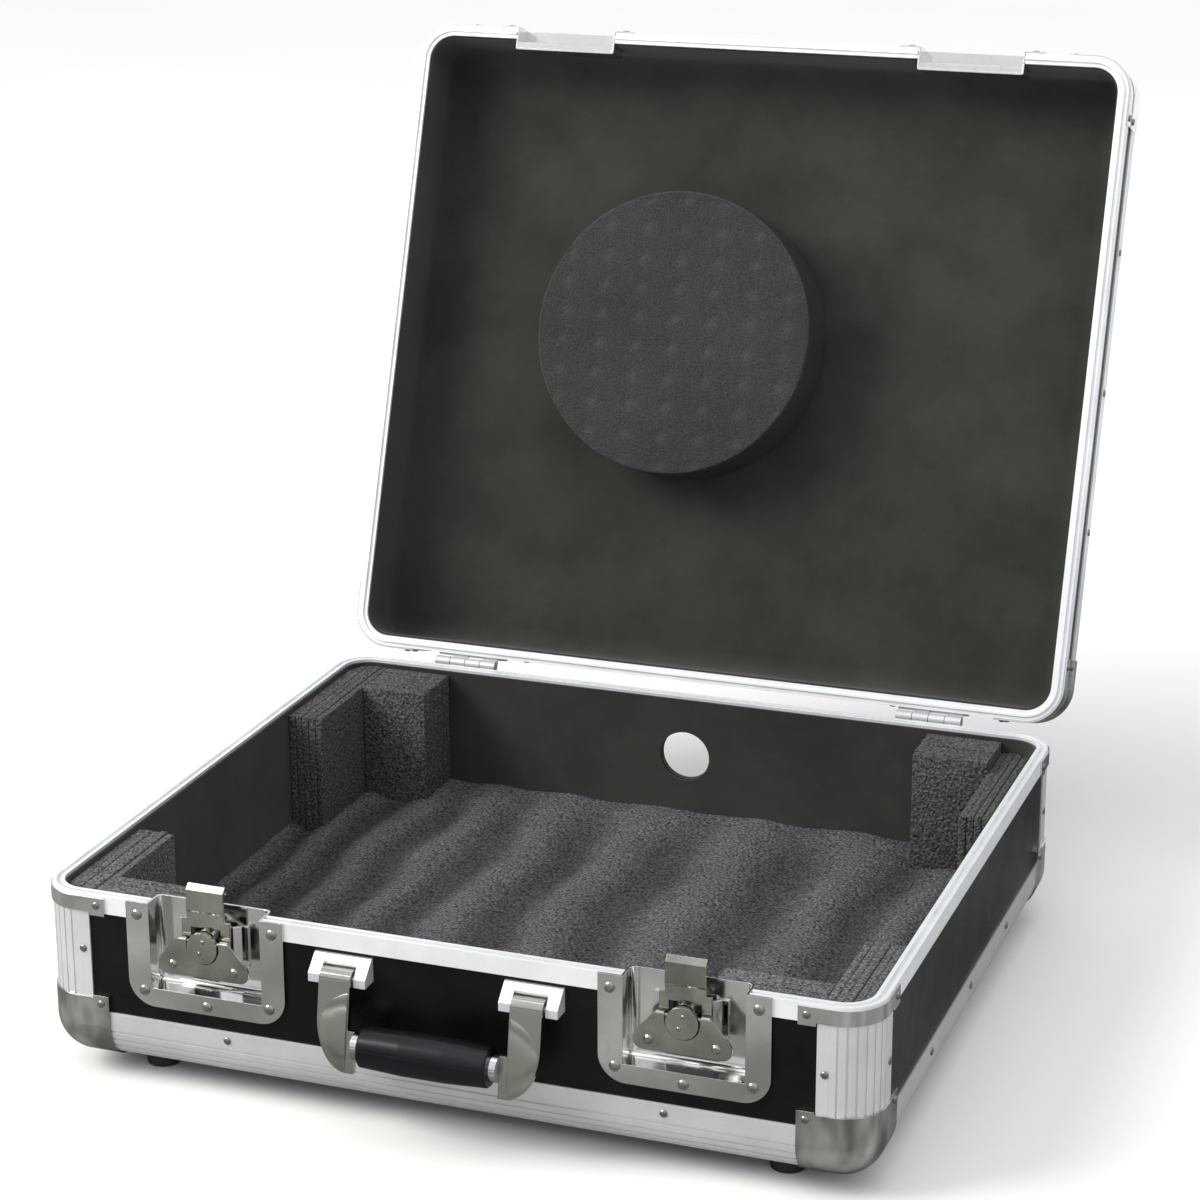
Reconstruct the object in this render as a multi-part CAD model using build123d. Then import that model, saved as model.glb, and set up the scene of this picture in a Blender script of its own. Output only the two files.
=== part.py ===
from build123d import *
from math import cos, degrees, hypot, pi, radians, sin
import os

# A transport case for a record player, shown with its lid standing open on its hinge stops.
# Millimetres. X to the right, Y to the back, Z up. The case is drawn about the middle of its base,
# with Z = 0 on the floor, and the finished model is moved so that the origin is the bottom centre of
# the whole open case.

# Case shell
CASE_WIDTH = 520.0
CASE_DEPTH = 454.0
BASE_HEIGHT = 110.0
LID_HEIGHT = 60.0
PARTING_GAP = 0.4
LID_OPEN_DEG = 109.5
CORNER_RADIUS = 25.0
SKIN = 1.2
PANEL = 5.0
LINING = 1.5
LINING_DROP = 2.0
FIT = 0.3

# Rim channel round the parting line
RIM_FACE = 11.5
RIM_WEB = 3.4
RIM_INNER_LEG = 6.0
GROOVE_INSET = 2.5
GROOVE_WIDTH = 2.4
GROOVE_DEPTH = 2.0
TONGUE_HEIGHT = 1.4

# Edge extrusions, corner posts and corner caps
EDGE_LEG = 34.0
EDGE_STEP = 1.0
POST_LEG = 34.0
RIB_DEPTH = 0.6
RIB_WIDTH = 1.1
POST_RIBS = 7
EDGE_RIBS = 7
CAP_REACH = 45.0
CAP_HEIGHT = 43.0
CAP_SKIN = 1.2
EAR_WIDTH = 10.5
EAR_HEIGHT = 10.5
BRACE_TOP = 1.5
BRACE_HEIGHT = 9.5
BRACE_EAR = 13.0

# Feet
FOOT_HEIGHT = 12.0
FOOT_INSET_X = 60.0
FOOT_ROOM = 0.5
FOOT_TOP_RADIUS = 12.0
FOOT_BOTTOM_RADIUS = 10.5
FOOT_BORE_RADIUS = 4.5
FOOT_BORE_DEPTH = 5.0
SCREW_HEAD_RADIUS = 4.2
SCREW_HEAD_HEIGHT = 2.4

# Foam
FLOOR_FOAM = 18.0
WAVE_CREST_SHARES = (-0.86, -0.7, -0.53, -0.335, -0.09, 0.225, 0.52, 0.76, 0.93)
WAVE_DEPTH = 5.0
WAVE_STEPS = 4
FOAM_TOP_DROP = 4.0
BACK_BLOCK_LENGTH = 77.0
BACK_BLOCK_THICK = 42.0
BACK_SIDE_LENGTHS = {"left": 115.0, "right": 121.0}
BACK_SIDE_DROPS = {"left": 0.0, "right": 7.0}
FRONT_BLOCK_LENGTH = 91.0
FRONT_BLOCK_THICK = 30.0
FRONT_SIDE_LENGTHS = {"left": 103.0, "right": 93.0}
SIDE_BLOCK_THICK = 25.0
PAD_RADIUS = 101.0
PAD_X = -45.0
PAD_Y = -17.0
PAD_FACE_DROP = 1.0

# Cable hole in the back panel
CABLE_RADIUS = 18.0
CABLE_HEIGHT = 66.0

# Latches, measured from the front face (depth) and the rim
LATCH_SHARE = 0.573
LATCH_WIDTH = 102.5
LATCH_HEIGHT = 66.5
LATCH_FLANGE = 15.0
LATCH_SILL = 12.0
LATCH_CORNER = 17.0
KEEPER_HEIGHT = 25.5
KEEPER_RECESS = 18.0
DISH_DEPTH = 14.0
DISH_ROOM = 2.0
SHEET = 1.2
DISH_BEND = 4.0
KEEPER_BEND = 1.5
SLOT_WIDTH = 32.0
SLOT_HEIGHT = 7.5
SLOT_RISE = 3.0
SPINDLE_DROP = 22.0
SPINDLE_RADIUS = 4.0
RUNNING_FIT = 0.06
DISC_RADIUS = 9.8
DISC_THICK = 2.6
DISC_FRONT = -5.0
HUB_RADIUS = 6.5
CAM_RADIUS = 6.0
CAM_FIT = 1.1
STROKE_OUT = 5.0
STROKE_UP = 7.0
BRIDGE_DEPTH = 9.1
BRIDGE_SIDE_ROOM = 10.25
BRIDGE_FLANK = 4.0
HOOK_SHEET = 2.0
HOOK_WIDTH = 24.0
HOOK_BODY_WIDTH = 31.0
HOOK_CLOSED_DEPTH = 7.4
HOOK_BEND = 4.3
HOOK_CRANK = -7.5
HOOK_CRANK_DEPTH = 0.8
HOOK_TAIL = 44.0
CLAW_TIP = (12.17, 3.02)
CLAW_APEX = (9.65, 6.55)
LIP_FOOT = (11.4, 0.9)
LIP_LENGTH = 3.8
LIP_SHEET = 1.2
WING_FRONT = -4.0
WING_SHEET = 1.5
WING_TOP_HALF = 17.0
WING_HALF = 29.5
WING_SHOULDER = 10.5
WING_DROP = 19.5
WING_CORNER = 6.0
WING_TOP = 4.0
WING_GAP = 0.7
WING_PIN_RADIUS = 1.2
WING_PIN_RISE = 2.6
WING_PIN_DEPTH = -1.7
KNUCKLE_RADIUS = 2.3
KNUCKLE_FROM = 11.0
KNUCKLE_TO = 16.0
DIMPLE_X = 20.0
DIMPLE_DROP = 13.0
DIMPLE_RADIUS = 2.8
DIMPLE_TOP_RADIUS = 1.7
DIMPLE_HEIGHT = 1.2

# Handle
ARM_X = 59.3
ARM_WIDTH = 19.5
ARM_SHEET = 4.0
ARM_FRONT = 14.0
ARM_LOBE_X = 45.0
ARM_LOBE_DROP = 4.0
ARM_CURVE_HEIGHT = 32.0
HANDLE_LEAN_DEG = 10.0
PIVOT_DROP = 25.0
PIVOT_DEPTH = 8.0
PIVOT_RADIUS = 2.0
GRIP_DROP = 62.0
GRIP_RADIUS = 12.0
GRIP_CROWN = 1.2
GRIP_DEPTH = 13.0
FERRULE_RADIUS = 8.0
FERRULE_LENGTH = 5.0
CORE_RADIUS = 4.0
BRACKET_WIDTH = 36.0
BRACKET_TOP = 14.0
BRACKET_BOTTOM = 28.5
BRACKET_PROUD = 11.0
BRACKET_SHOULDER = 23.2
BRACKET_WALL = 1.5
BRACKET_GAP = 0.8
BRACKET_BACK = 0.6
BRACKET_LIP = 4.5
BRACKET_LIP_SHEET = 1.6

# Hinges
HINGE_SHARE = 0.658
HINGE_WIDTH = 46.0
HINGE_OFFSET = 6.0
HINGE_LEAF = 1.5
BASE_LEAF_LENGTH = 30.0
LID_LEAF_LENGTH = 22.0
BARREL_RADIUS = 3.8
HINGE_PIN_RADIUS = 1.6
KNUCKLE_GAP = 0.4
STOP_LENGTH = 6.0

# Worked out from the sizes above
WALL = SKIN + PANEL + SKIN
EDGE_RADIUS = CORNER_RADIUS - EDGE_STEP
HALF_W = CASE_WIDTH / 2
HALF_D = CASE_DEPTH / 2
FLOOR_Z = FOOT_HEIGHT
RIM_Z = FLOOR_Z + BASE_HEIGHT
LID_RIM_Z = RIM_Z + PARTING_GAP
HINGE_Y = HALF_D + HINGE_OFFSET
HINGE_Z = RIM_Z + PARTING_GAP / 2
STRAIGHT_X = HALF_W - CORNER_RADIUS
STRAIGHT_Y = HALF_D - CORNER_RADIUS
FOAM_Z = FLOOR_Z + WALL + LINING
FOOT_INSET_Y = CORNER_RADIUS + FOOT_ROOM + FOOT_TOP_RADIUS
CRESTS = [HALF_W * share for share in WAVE_CREST_SHARES]
LATCH_X = HALF_W * LATCH_SHARE
HINGE_X = HALF_W * HINGE_SHARE
OPENING_HALF = LATCH_WIDTH / 2 - LATCH_FLANGE
OPENING_DROP = LATCH_HEIGHT - LATCH_SILL
BRIDGE_HALF = OPENING_HALF - DISH_BEND - BRIDGE_SIDE_ROOM - 2 * BRIDGE_FLANK
ECCENTRIC = STROKE_UP / 2
STROKE = hypot(STROKE_OUT, STROKE_UP)
FRONT = -HALF_D
FAR = 2000.0
EPS = 0.01


def block(x0, x1, y0, y1, z0, z1):
    return Pos((x0 + x1) / 2, (y0 + y1) / 2, (z0 + z1) / 2) * Box(x1 - x0, y1 - y0, z1 - z0)


def prism_z(points, z0, z1):
    """An outline of (x, y) points, upright from z0 to z1."""
    return Pos(0, 0, z0) * extrude(make_face(Polyline(points, close=True)), z1 - z0)


def prism_x(points, x0, x1):
    """An outline of (y, z) points, run along X."""
    return Pos(x0, 0, 0) * extrude(Plane.YZ * make_face(Polyline(points, close=True)), x1 - x0)


def rod_x(radius, x0, x1, y, z):
    return Pos((x0 + x1) / 2, y, z) * Rot(0, 90, 0) * Cylinder(radius, x1 - x0)


def rod_y(radius, y0, y1, x, z):
    return Pos(x, (y0 + y1) / 2, z) * Rot(90, 0, 0) * Cylinder(radius, y1 - y0)


def mirrored(shape):
    return mirror(shape, Plane.YZ)


def joined(shapes):
    """Separate solids kept side by side in one node."""
    return Compound([s for shape in shapes for s in shape.solids()])


def outline(inset):
    return RectangleRounded(CASE_WIDTH - 2 * inset, CASE_DEPTH - 2 * inset, CORNER_RADIUS - inset)


def ring(outer, inner, z0, z1):
    """A closed band that follows the case's outline between two insets."""
    return Pos(0, 0, z0) * extrude(outline(outer) - outline(inner), z1 - z0)


def tub(inset, height):
    """The solid that the case's outer surface bounds, grown or shrunk by the inset."""
    solid = Pos(0, 0, inset) * extrude(outline(inset), height - inset)
    return fillet(solid.faces().sort_by(Axis.Z)[0].edges(), EDGE_RADIUS - inset)


def box_front(z0, z1):
    return block(-STRAIGHT_X, STRAIGHT_X, -FAR, 0, z0, z1)


def box_back(z0, z1):
    return block(-STRAIGHT_X, STRAIGHT_X, 0, FAR, z0, z1)


def box_left(z0, z1):
    return block(-FAR, 0, -STRAIGHT_Y, STRAIGHT_Y, z0, z1)


def box_right(z0, z1):
    return block(0, FAR, -STRAIGHT_Y, STRAIGHT_Y, z0, z1)


def at_corners(shape):
    """The shape, drawn at the right back corner, at all four corners."""
    right = [shape, mirror(shape, Plane.XZ)]
    return joined(right + [mirrored(s) for s in right])


def corner_region(reach, z0, z1):
    return block(HALF_W - reach, FAR, HALF_D - reach, FAR, z0, z1)


def channel(height, with_tongue):
    """The whole rim channel, before it is cut into lengths, with its top at the given height."""
    top = height
    body = ring(0, SKIN, top - RIM_FACE, top) + ring(0, WALL, top - RIM_WEB, top)
    body += ring(WALL - SKIN, WALL, top - RIM_INNER_LEG, top)
    inner = GROOVE_INSET + GROOVE_WIDTH
    if with_tongue:
        body += ring(GROOVE_INSET + FIT, inner - FIT, top - EPS, top + TONGUE_HEIGHT)
    else:
        body -= ring(GROOVE_INSET, inner, top - GROOVE_DEPTH, top + 1)
    return body


def edge_profile(half):
    """The section of an edge extrusion: a thick ribbed round with a tall and a short thin leg."""
    side = half - EDGE_RADIUS
    inner = EDGE_RADIUS - WALL
    arc = Pos(side, EDGE_RADIUS) * Circle(EDGE_RADIUS)
    core = arc & Pos(side + EDGE_RADIUS / 2, EDGE_RADIUS / 2) * Rectangle(EDGE_RADIUS, EDGE_RADIUS)
    core -= Pos(side, EDGE_RADIUS) * Circle(inner)
    rise = (EDGE_LEG + EDGE_RADIUS) / 2
    leg = Pos(half - SKIN / 2, rise) * Rectangle(SKIN, EDGE_LEG - EDGE_RADIUS)
    foot_run = CORNER_RADIUS - EDGE_RADIUS
    foot = Pos(side - foot_run / 2, SKIN / 2) * Rectangle(foot_run, SKIN)
    profile = core + leg + foot
    for k in range(EDGE_RIBS):
        angle = radians(90 * (k + 0.5) / EDGE_RIBS)
        x = side + EDGE_RADIUS * cos(angle)
        z = EDGE_RADIUS - EDGE_RADIUS * sin(angle)
        profile -= Pos(x, z) * Rot(0, 0, -degrees(angle)) * Rectangle(2 * RIB_DEPTH, RIB_WIDTH)
    return profile


def edge_bars():
    """The four bottom edge extrusions as front, back, left and right."""
    along_x = Pos(-STRAIGHT_X, 0, 0) * extrude(Plane.YZ * edge_profile(HALF_D), 2 * STRAIGHT_X)
    along_y = Pos(0, STRAIGHT_Y, 0) * extrude(Plane.XZ * edge_profile(HALF_W), 2 * STRAIGHT_Y)
    return mirror(along_x, Plane.XZ), along_x, mirrored(along_y), along_y


def corner_post(height):
    """A ribbed corner extrusion: two thin legs over the panels and a thick round between them."""
    top = height - RIM_FACE
    round_part = ring(0, WALL, EDGE_RADIUS, top) & corner_region(CORNER_RADIUS, 0, FAR)
    legs = ring(0, SKIN, EDGE_LEG, top) & corner_region(POST_LEG, 0, FAR)
    post = round_part + legs
    inner_core = ring(WALL - SKIN, WALL, top - EPS, FAR)
    post -= inner_core
    for k in range(POST_RIBS):
        angle = radians(90 * (k + 0.5) / POST_RIBS)
        x = STRAIGHT_X + CORNER_RADIUS * cos(angle)
        y = STRAIGHT_Y + CORNER_RADIUS * sin(angle)
        rib = Box(2 * RIB_DEPTH, RIB_WIDTH, 4 * height)
        post -= Pos(x, y, 0) * Rot(0, 0, degrees(angle)) * rib
    return post


def corner_cap():
    """A pressed ball corner over the meeting of three extrusions, with an ear on each side."""
    shell = tub(-CAP_SKIN, CAP_HEIGHT) - tub(0, CAP_HEIGHT + 1)
    shell &= corner_region(CAP_REACH, -FAR, CAP_HEIGHT)
    ear_top = EDGE_LEG + EAR_HEIGHT
    x0 = HALF_W - CAP_REACH
    y0 = HALF_D - CAP_REACH
    shell += block(x0, x0 + EAR_WIDTH, HALF_D - SKIN, HALF_D + CAP_SKIN, EDGE_LEG, ear_top)
    shell += block(HALF_W - SKIN, HALF_W + CAP_SKIN, y0, y0 + EAR_WIDTH, EDGE_LEG, ear_top)
    return shell


def corner_brace(height):
    """The pressed band that ties the rim round a corner, with an ear at each end."""
    top = height - BRACE_TOP
    band = ring(-CAP_SKIN, 0, top - BRACE_HEIGHT, top) & corner_region(CAP_REACH, 0, FAR)
    x0 = HALF_W - CAP_REACH
    y0 = HALF_D - CAP_REACH
    low = height - BRACE_EAR
    band += block(x0, x0 + EAR_WIDTH, HALF_D, HALF_D + CAP_SKIN, low, top)
    band += block(HALF_W, HALF_W + CAP_SKIN, y0, y0 + EAR_WIDTH, low, top)
    band += block(x0, x0 + EAR_WIDTH, HALF_D - SKIN, HALF_D + CAP_SKIN, low, height - RIM_FACE)
    band += block(HALF_W - SKIN, HALF_W + CAP_SKIN, y0, y0 + EAR_WIDTH, low, height - RIM_FACE)
    return band


def latch_window(x, height, drop, front):
    """The cut that a latch dish or keeper needs through the rim, panel and lining."""
    half = OPENING_HALF + SHEET + FIT
    y0, y1 = sorted((front * (HALF_D + 5), front * (HALF_D - 30)))
    return block(x - half, x + half, y0, y1, height - drop - SHEET - FIT, FAR)


def half_case(height, drop, front, with_tongue):
    """The shell of the base, or of the lid drawn upside down, standing on Z = 0 with its rim up."""
    windows = [latch_window(x, height, drop, front) for x in (-LATCH_X, LATCH_X)]
    panel_top = height - RIM_WEB
    band = ring(SKIN, SKIN + PANEL, EDGE_RADIUS, panel_top)
    walls = {
        "front": band & box_front(0, FAR),
        "back": band & box_back(0, FAR),
        "left": band & box_left(0, FAR),
        "right": band & box_right(0, FAR),
    }
    latch_wall = "front" if front < 0 else "back"
    for window in windows:
        walls[latch_wall] -= window
    rim = channel(height, with_tongue)
    straight = {
        "front": rim & box_front(0, FAR),
        "back": rim & box_back(0, FAR),
        "left": rim & box_left(0, FAR),
        "right": rim & box_right(0, FAR),
    }
    for window in windows:
        straight[latch_wall] -= window
    inset = EDGE_RADIUS
    flat = block(inset - HALF_W, HALF_W - inset, -STRAIGHT_Y, STRAIGHT_Y, SKIN, WALL)
    flat += block(-STRAIGHT_X, STRAIGHT_X, inset - HALF_D, HALF_D - inset, SKIN, WALL)
    backing = ring(SKIN + PANEL, WALL, EDGE_RADIUS, height - RIM_INNER_LEG)
    backing = (backing & block(-STRAIGHT_X, STRAIGHT_X, -FAR, FAR, 0, FAR)) + (
        backing & block(-FAR, FAR, -STRAIGHT_Y, STRAIGHT_Y, 0, FAR)
    )
    lining = tub(WALL, height - LINING_DROP) - tub(WALL + LINING, height) + backing
    for window in windows:
        lining -= window
    front_bar, back_bar, left_bar, right_bar = edge_bars()
    return {
        "walls": walls,
        "flat": flat,
        "rim": straight,
        "rim_corners": at_corners(rim & corner_region(CORNER_RADIUS, 0, FAR)),
        "posts": at_corners(corner_post(height)),
        "bars": {"front": front_bar, "back": back_bar, "left": left_bar, "right": right_bar},
        "caps": at_corners(corner_cap()),
        "braces": at_corners(corner_brace(height)),
        "lining": lining,
    }


def wave_drop(x):
    """How far the floor foam's top lies below its crests at an X between the outermost ones."""
    for left, right in zip(CRESTS, CRESTS[1:]):
        if left <= x <= right:
            return WAVE_DEPTH * (1 - cos(2 * pi * (x - left) / (right - left))) / 2
    return 0.0


def floor_foam():
    """The soft sheet on the case's floor, with rounded ridges that run from front to back."""
    inset = WALL + LINING + FIT
    crest = inset + FLOOR_FOAM
    xs = [CRESTS[-1]]
    for left, right in zip(CRESTS, CRESTS[1:]):
        xs += [left + (right - left) * k / WAVE_STEPS for k in range(WAVE_STEPS)]
    top = [(x, crest - wave_drop(x)) for x in sorted(xs)]
    with BuildSketch(Plane.XZ) as section:
        with BuildLine():
            Spline(*top, tangents=((1, 0), (1, 0)))
            Polyline(top[0], (-HALF_W, crest), (-HALF_W, 0), (HALF_W, 0), (HALF_W, crest), top[-1])
        make_face()
    ridges = Pos(0, HALF_D, 0) * extrude(section.sketch, 2 * HALF_D)
    return Pos(0, 0, FLOOR_Z - FIT) * (tub(inset, crest) & ridges)


def foam_l(sx, sy, arm, arm_thick, side_length, side_drop):
    """An L of laminated foam in the corner at signs sx, sy, standing on the floor foam."""
    gap = WALL + LINING + FIT
    x1 = HALF_W - gap
    y1 = HALF_D - gap
    points = [
        (x1, y1 - side_length),
        (x1 - SIDE_BLOCK_THICK, y1 - side_length),
        (x1 - SIDE_BLOCK_THICK, y1 - arm_thick),
        (x1 - arm, y1 - arm_thick),
        (x1 - arm, y1),
        (x1, y1),
    ]
    foot = FOAM_Z + FLOOR_FOAM
    top = RIM_Z - FOAM_TOP_DROP
    solid = prism_z(points, foot, top) & Pos(0, 0, foot) * extrude(outline(gap), RIM_Z)
    if side_drop:
        solid -= block(x1 - SIDE_BLOCK_THICK, FAR, -FAR, y1 - arm_thick, top - side_drop, FAR)
    if sy < 0:
        solid = mirror(solid, Plane.XZ)
    return solid if sx > 0 else mirrored(solid)


def u_flange(width, height, corner):
    """The outline, in X and Z, of a flange with square top corners and round lower ones."""
    plate = Pos(0, -height / 2) * RectangleRounded(width, height, corner)
    plate += Pos(0, -corner / 2) * Rectangle(width, corner)
    return plate


def pressed_dish(height, recess, corner, bend):
    """A sheet dish in the XZ plane: flange at Y = -SHEET..0, recess going back to the dish depth."""
    half = OPENING_HALF
    flange = u_flange(LATCH_WIDTH, height, corner)
    opening = Pos(0, -recess / 2) * Rectangle(2 * half, recess)
    flange -= opening
    shell = extrude(Plane.XZ * flange, SHEET)
    outer = block(-half - SHEET, half + SHEET, 0, DISH_DEPTH + SHEET, -recess - SHEET, 0)
    inner = block(-half, half, -1, DISH_DEPTH, -recess, 1)
    back = [e for e in inner.edges() if abs(e.center().Y - DISH_DEPTH) < 1e-6 and e.center().Z < 0]
    inner = fillet(back, bend)
    tall = [e for e in outer.edges() if abs(e.center().Y - DISH_DEPTH - SHEET) < 1e-6 and e.center().Z < 0]
    outer = fillet(tall, bend)
    return shell + (outer - inner)


def latch_dish():
    dish = pressed_dish(LATCH_HEIGHT, OPENING_DROP, LATCH_CORNER, DISH_BEND)
    z0 = -OPENING_DROP + SLOT_RISE
    half = SLOT_WIDTH / 2
    return dish - block(-half, half, DISH_DEPTH - 1, DISH_DEPTH + SHEET + 1, z0, z0 + SLOT_HEIGHT)


def latch_bridge():
    """The raised bearing plate: a flat with a bore, two flanks and two feet on the dish floor."""
    front = BRIDGE_DEPTH
    sheet = HINGE_LEAF
    half = BRIDGE_HALF
    foot = half + BRIDGE_FLANK
    toe = foot + BRIDGE_FLANK
    back = DISH_DEPTH
    points = [
        (-toe, back),
        (-toe, back - sheet),
        (-foot, back - sheet),
        (-half, front),
        (half, front),
        (foot, back - sheet),
        (toe, back - sheet),
        (toe, back),
        (foot - sheet / 2, back),
        (half - sheet / 2, front + sheet),
        (-half + sheet / 2, front + sheet),
        (-foot + sheet / 2, back),
    ]
    low = -SPINDLE_DROP - DISC_RADIUS - HUB_RADIUS
    plate = prism_z(points, low, -SPINDLE_DROP + DISC_RADIUS)
    return plate - rod_y(SPINDLE_RADIUS + RUNNING_FIT, 0, 50, 0, -SPINDLE_DROP)


def latch_spindle():
    """Shaft, eccentric cam, hub and disc head, with the cross pin that carries the wing."""
    z = -SPINDLE_DROP
    cam_front = HOOK_CLOSED_DEPTH - HOOK_SHEET / 2 - STROKE_OUT - FIT
    cam_back = BRIDGE_DEPTH - FIT
    disc_back = DISC_FRONT + DISC_THICK
    body = rod_y(SPINDLE_RADIUS, cam_back, DISH_DEPTH - FIT, 0, z)
    body += rod_y(CAM_RADIUS, cam_front, cam_back, 0, z + ECCENTRIC)
    body += rod_y(HUB_RADIUS, disc_back, cam_front, 0, z)
    body += rod_y(DISC_RADIUS, DISC_FRONT, disc_back, 0, z)
    pin = rod_x(WING_PIN_RADIUS, -KNUCKLE_TO - 1, KNUCKLE_TO + 1, WING_PIN_DEPTH, z + WING_PIN_RISE)
    return body + pin


def dimple(x, z):
    """A round pressed bump on the wing's front."""
    cone = Cone(DIMPLE_RADIUS, DIMPLE_TOP_RADIUS, DIMPLE_HEIGHT)
    return Pos(x, WING_FRONT - DIMPLE_HEIGHT / 2, z) * Rot(90, 0, 0) * cone


def latch_wing():
    """The fan-shaped wing that folds down round the disc, with two pressed dimples."""
    z = -SPINDLE_DROP
    points = [
        (-WING_TOP_HALF, WING_TOP),
        (-WING_HALF, -WING_SHOULDER),
        (-WING_HALF, -WING_DROP),
        (WING_HALF, -WING_DROP),
        (WING_HALF, -WING_SHOULDER),
        (WING_TOP_HALF, WING_TOP),
    ]
    fan = make_face(Polyline(points, close=True))
    corner = min(WING_CORNER, 2 * (WING_DROP - WING_SHOULDER) / 3)
    fan = fillet([v for v in fan.vertices() if v.Y < -WING_SHOULDER + 1], corner)
    fan -= Circle(DISC_RADIUS + WING_GAP)
    fan -= Pos(0, WING_TOP) * Rectangle(2 * (KNUCKLE_FROM - 0.4), 2 * (WING_TOP + 2))
    back = WING_FRONT + WING_SHEET
    plate = Pos(0, back, z) * extrude(Plane.XZ * fan, WING_SHEET)
    pin_z = z + WING_PIN_RISE
    for side in (-1, 1):
        x0, x1 = sorted((side * KNUCKLE_FROM, side * KNUCKLE_TO))
        plate += rod_x(KNUCKLE_RADIUS, x0, x1, WING_PIN_DEPTH, pin_z)
    plate -= rod_x(WING_PIN_RADIUS + RUNNING_FIT, -50, 50, WING_PIN_DEPTH, pin_z)
    for side in (-1, 1):
        plate += dimple(side * DIMPLE_X, z - DIMPLE_DROP)
    return plate


def strip(points, thick):
    """A bent sheet's outline about its centre line, mitred at the bends."""
    lines = [Vector(*p) for p in points]
    normals = []
    for a, b in zip(lines, lines[1:]):
        run = (b - a).normalized()
        normals.append(Vector(-run.Y, run.X))
    left, right = [], []
    for k, p in enumerate(lines):
        if k in (0, len(lines) - 1):
            n = normals[0 if k == 0 else -1]
            shift = n * (thick / 2)
        else:
            n = (normals[k - 1] + normals[k]).normalized()
            shift = n * (thick / 2 / n.dot(normals[k]))
        left.append(p + shift)
        right.append(p - shift)
    return [(p.X, p.Y) for p in left + right[::-1]]


def latch_hook():
    """The sliding hook, drawn latched: a windowed plate with a claw bent over towards the case."""
    d = HOOK_CLOSED_DEPTH
    crank = [(d, HOOK_CRANK - 2 * HOOK_CRANK_DEPTH), (d - HOOK_CRANK_DEPTH, HOOK_CRANK)]
    path = [(d, -SPINDLE_DROP), *crank, (d, HOOK_BEND), CLAW_APEX, CLAW_TIP]
    neck = prism_x(strip(path, HOOK_SHEET), -HOOK_WIDTH / 2, HOOK_WIDTH / 2)
    centre = -SPINDLE_DROP - ECCENTRIC
    y0 = d - HOOK_SHEET / 2
    y1 = d + HOOK_SHEET / 2
    half = HOOK_BODY_WIDTH / 2
    crown = centre + CAM_RADIUS + CAM_FIT + 5
    body = block(-half, half, y0, y1, -HOOK_TAIL, crown)
    window_w = CAM_RADIUS + ECCENTRIC + FIT
    window_h = CAM_RADIUS + CAM_FIT
    window = block(-window_w, window_w, y0 - 1, y1 + 1, centre - window_h, centre + window_h)
    return (neck + body) - window


def keeper():
    """The lid's half of the latch, drawn upright with Z = 0 at the lid's rim and the lid above it."""
    corner = CORNER_RADIUS - LATCH_FLANGE
    dish = mirror(pressed_dish(KEEPER_HEIGHT, KEEPER_RECESS, corner, KEEPER_BEND), Plane.XY)
    ledge_front = LIP_FOOT[0] - LIP_SHEET
    ledge = block(-OPENING_HALF, OPENING_HALF, ledge_front, DISH_DEPTH, 0.2, 0.2 + SHEET + 0.3)
    out = -STROKE_OUT / STROKE
    up = STROKE_UP / STROKE
    tip = (LIP_FOOT[0] + LIP_LENGTH * out, LIP_FOOT[1] + LIP_LENGTH * up)
    lip = prism_x(strip([LIP_FOOT, tip], LIP_SHEET), -OPENING_HALF, OPENING_HALF)
    return dish + ledge + lip


def handle_arm():
    """One pressed arm of the handle, at the right side, hanging straight down from its rolled eye."""
    top = RIM_Z - PIVOT_DROP
    x1 = ARM_X + ARM_WIDTH / 2
    x0 = ARM_X - ARM_WIDTH / 2
    low = RIM_Z - GRIP_DROP - GRIP_RADIUS - GRIP_CROWN - ARM_LOBE_DROP
    bend_z = low + ARM_CURVE_HEIGHT
    stem = Pos(ARM_X, (bend_z + top) / 2) * Rectangle(ARM_WIDTH, top - bend_z)
    quarter = Rectangle(ARM_WIDTH, ARM_CURVE_HEIGHT, align=(Align.MIN, Align.MAX))
    curve = Pos(x0, bend_z) * (Ellipse(ARM_WIDTH, ARM_CURVE_HEIGHT) & quarter)
    lobe_height = GRIP_RADIUS + GRIP_CROWN + ARM_LOBE_DROP + FERRULE_RADIUS
    lobe = Pos(ARM_LOBE_X, low) * Rectangle(x0 - ARM_LOBE_X, lobe_height, align=Align.MIN)
    y1 = FRONT - ARM_FRONT + ARM_SHEET
    plate = Pos(0, y1, 0) * extrude(Plane.XZ * (stem + curve + lobe), ARM_SHEET)
    eye = rod_x(ARM_FRONT - PIVOT_DEPTH, x0, x1, FRONT - PIVOT_DEPTH, top)
    arm = plate + eye
    return arm - rod_x(PIVOT_RADIUS + RUNNING_FIT, x0 - 5, x1 + 5, FRONT - PIVOT_DEPTH, top)


def bracket_slope(depth):
    """The height of the bracket's sloping top at a depth in front of the case."""
    share = (depth - 1) / (BRACKET_PROUD - 1)
    return RIM_Z - BRACKET_TOP - share * (BRACKET_SHOULDER - BRACKET_TOP)


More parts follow.
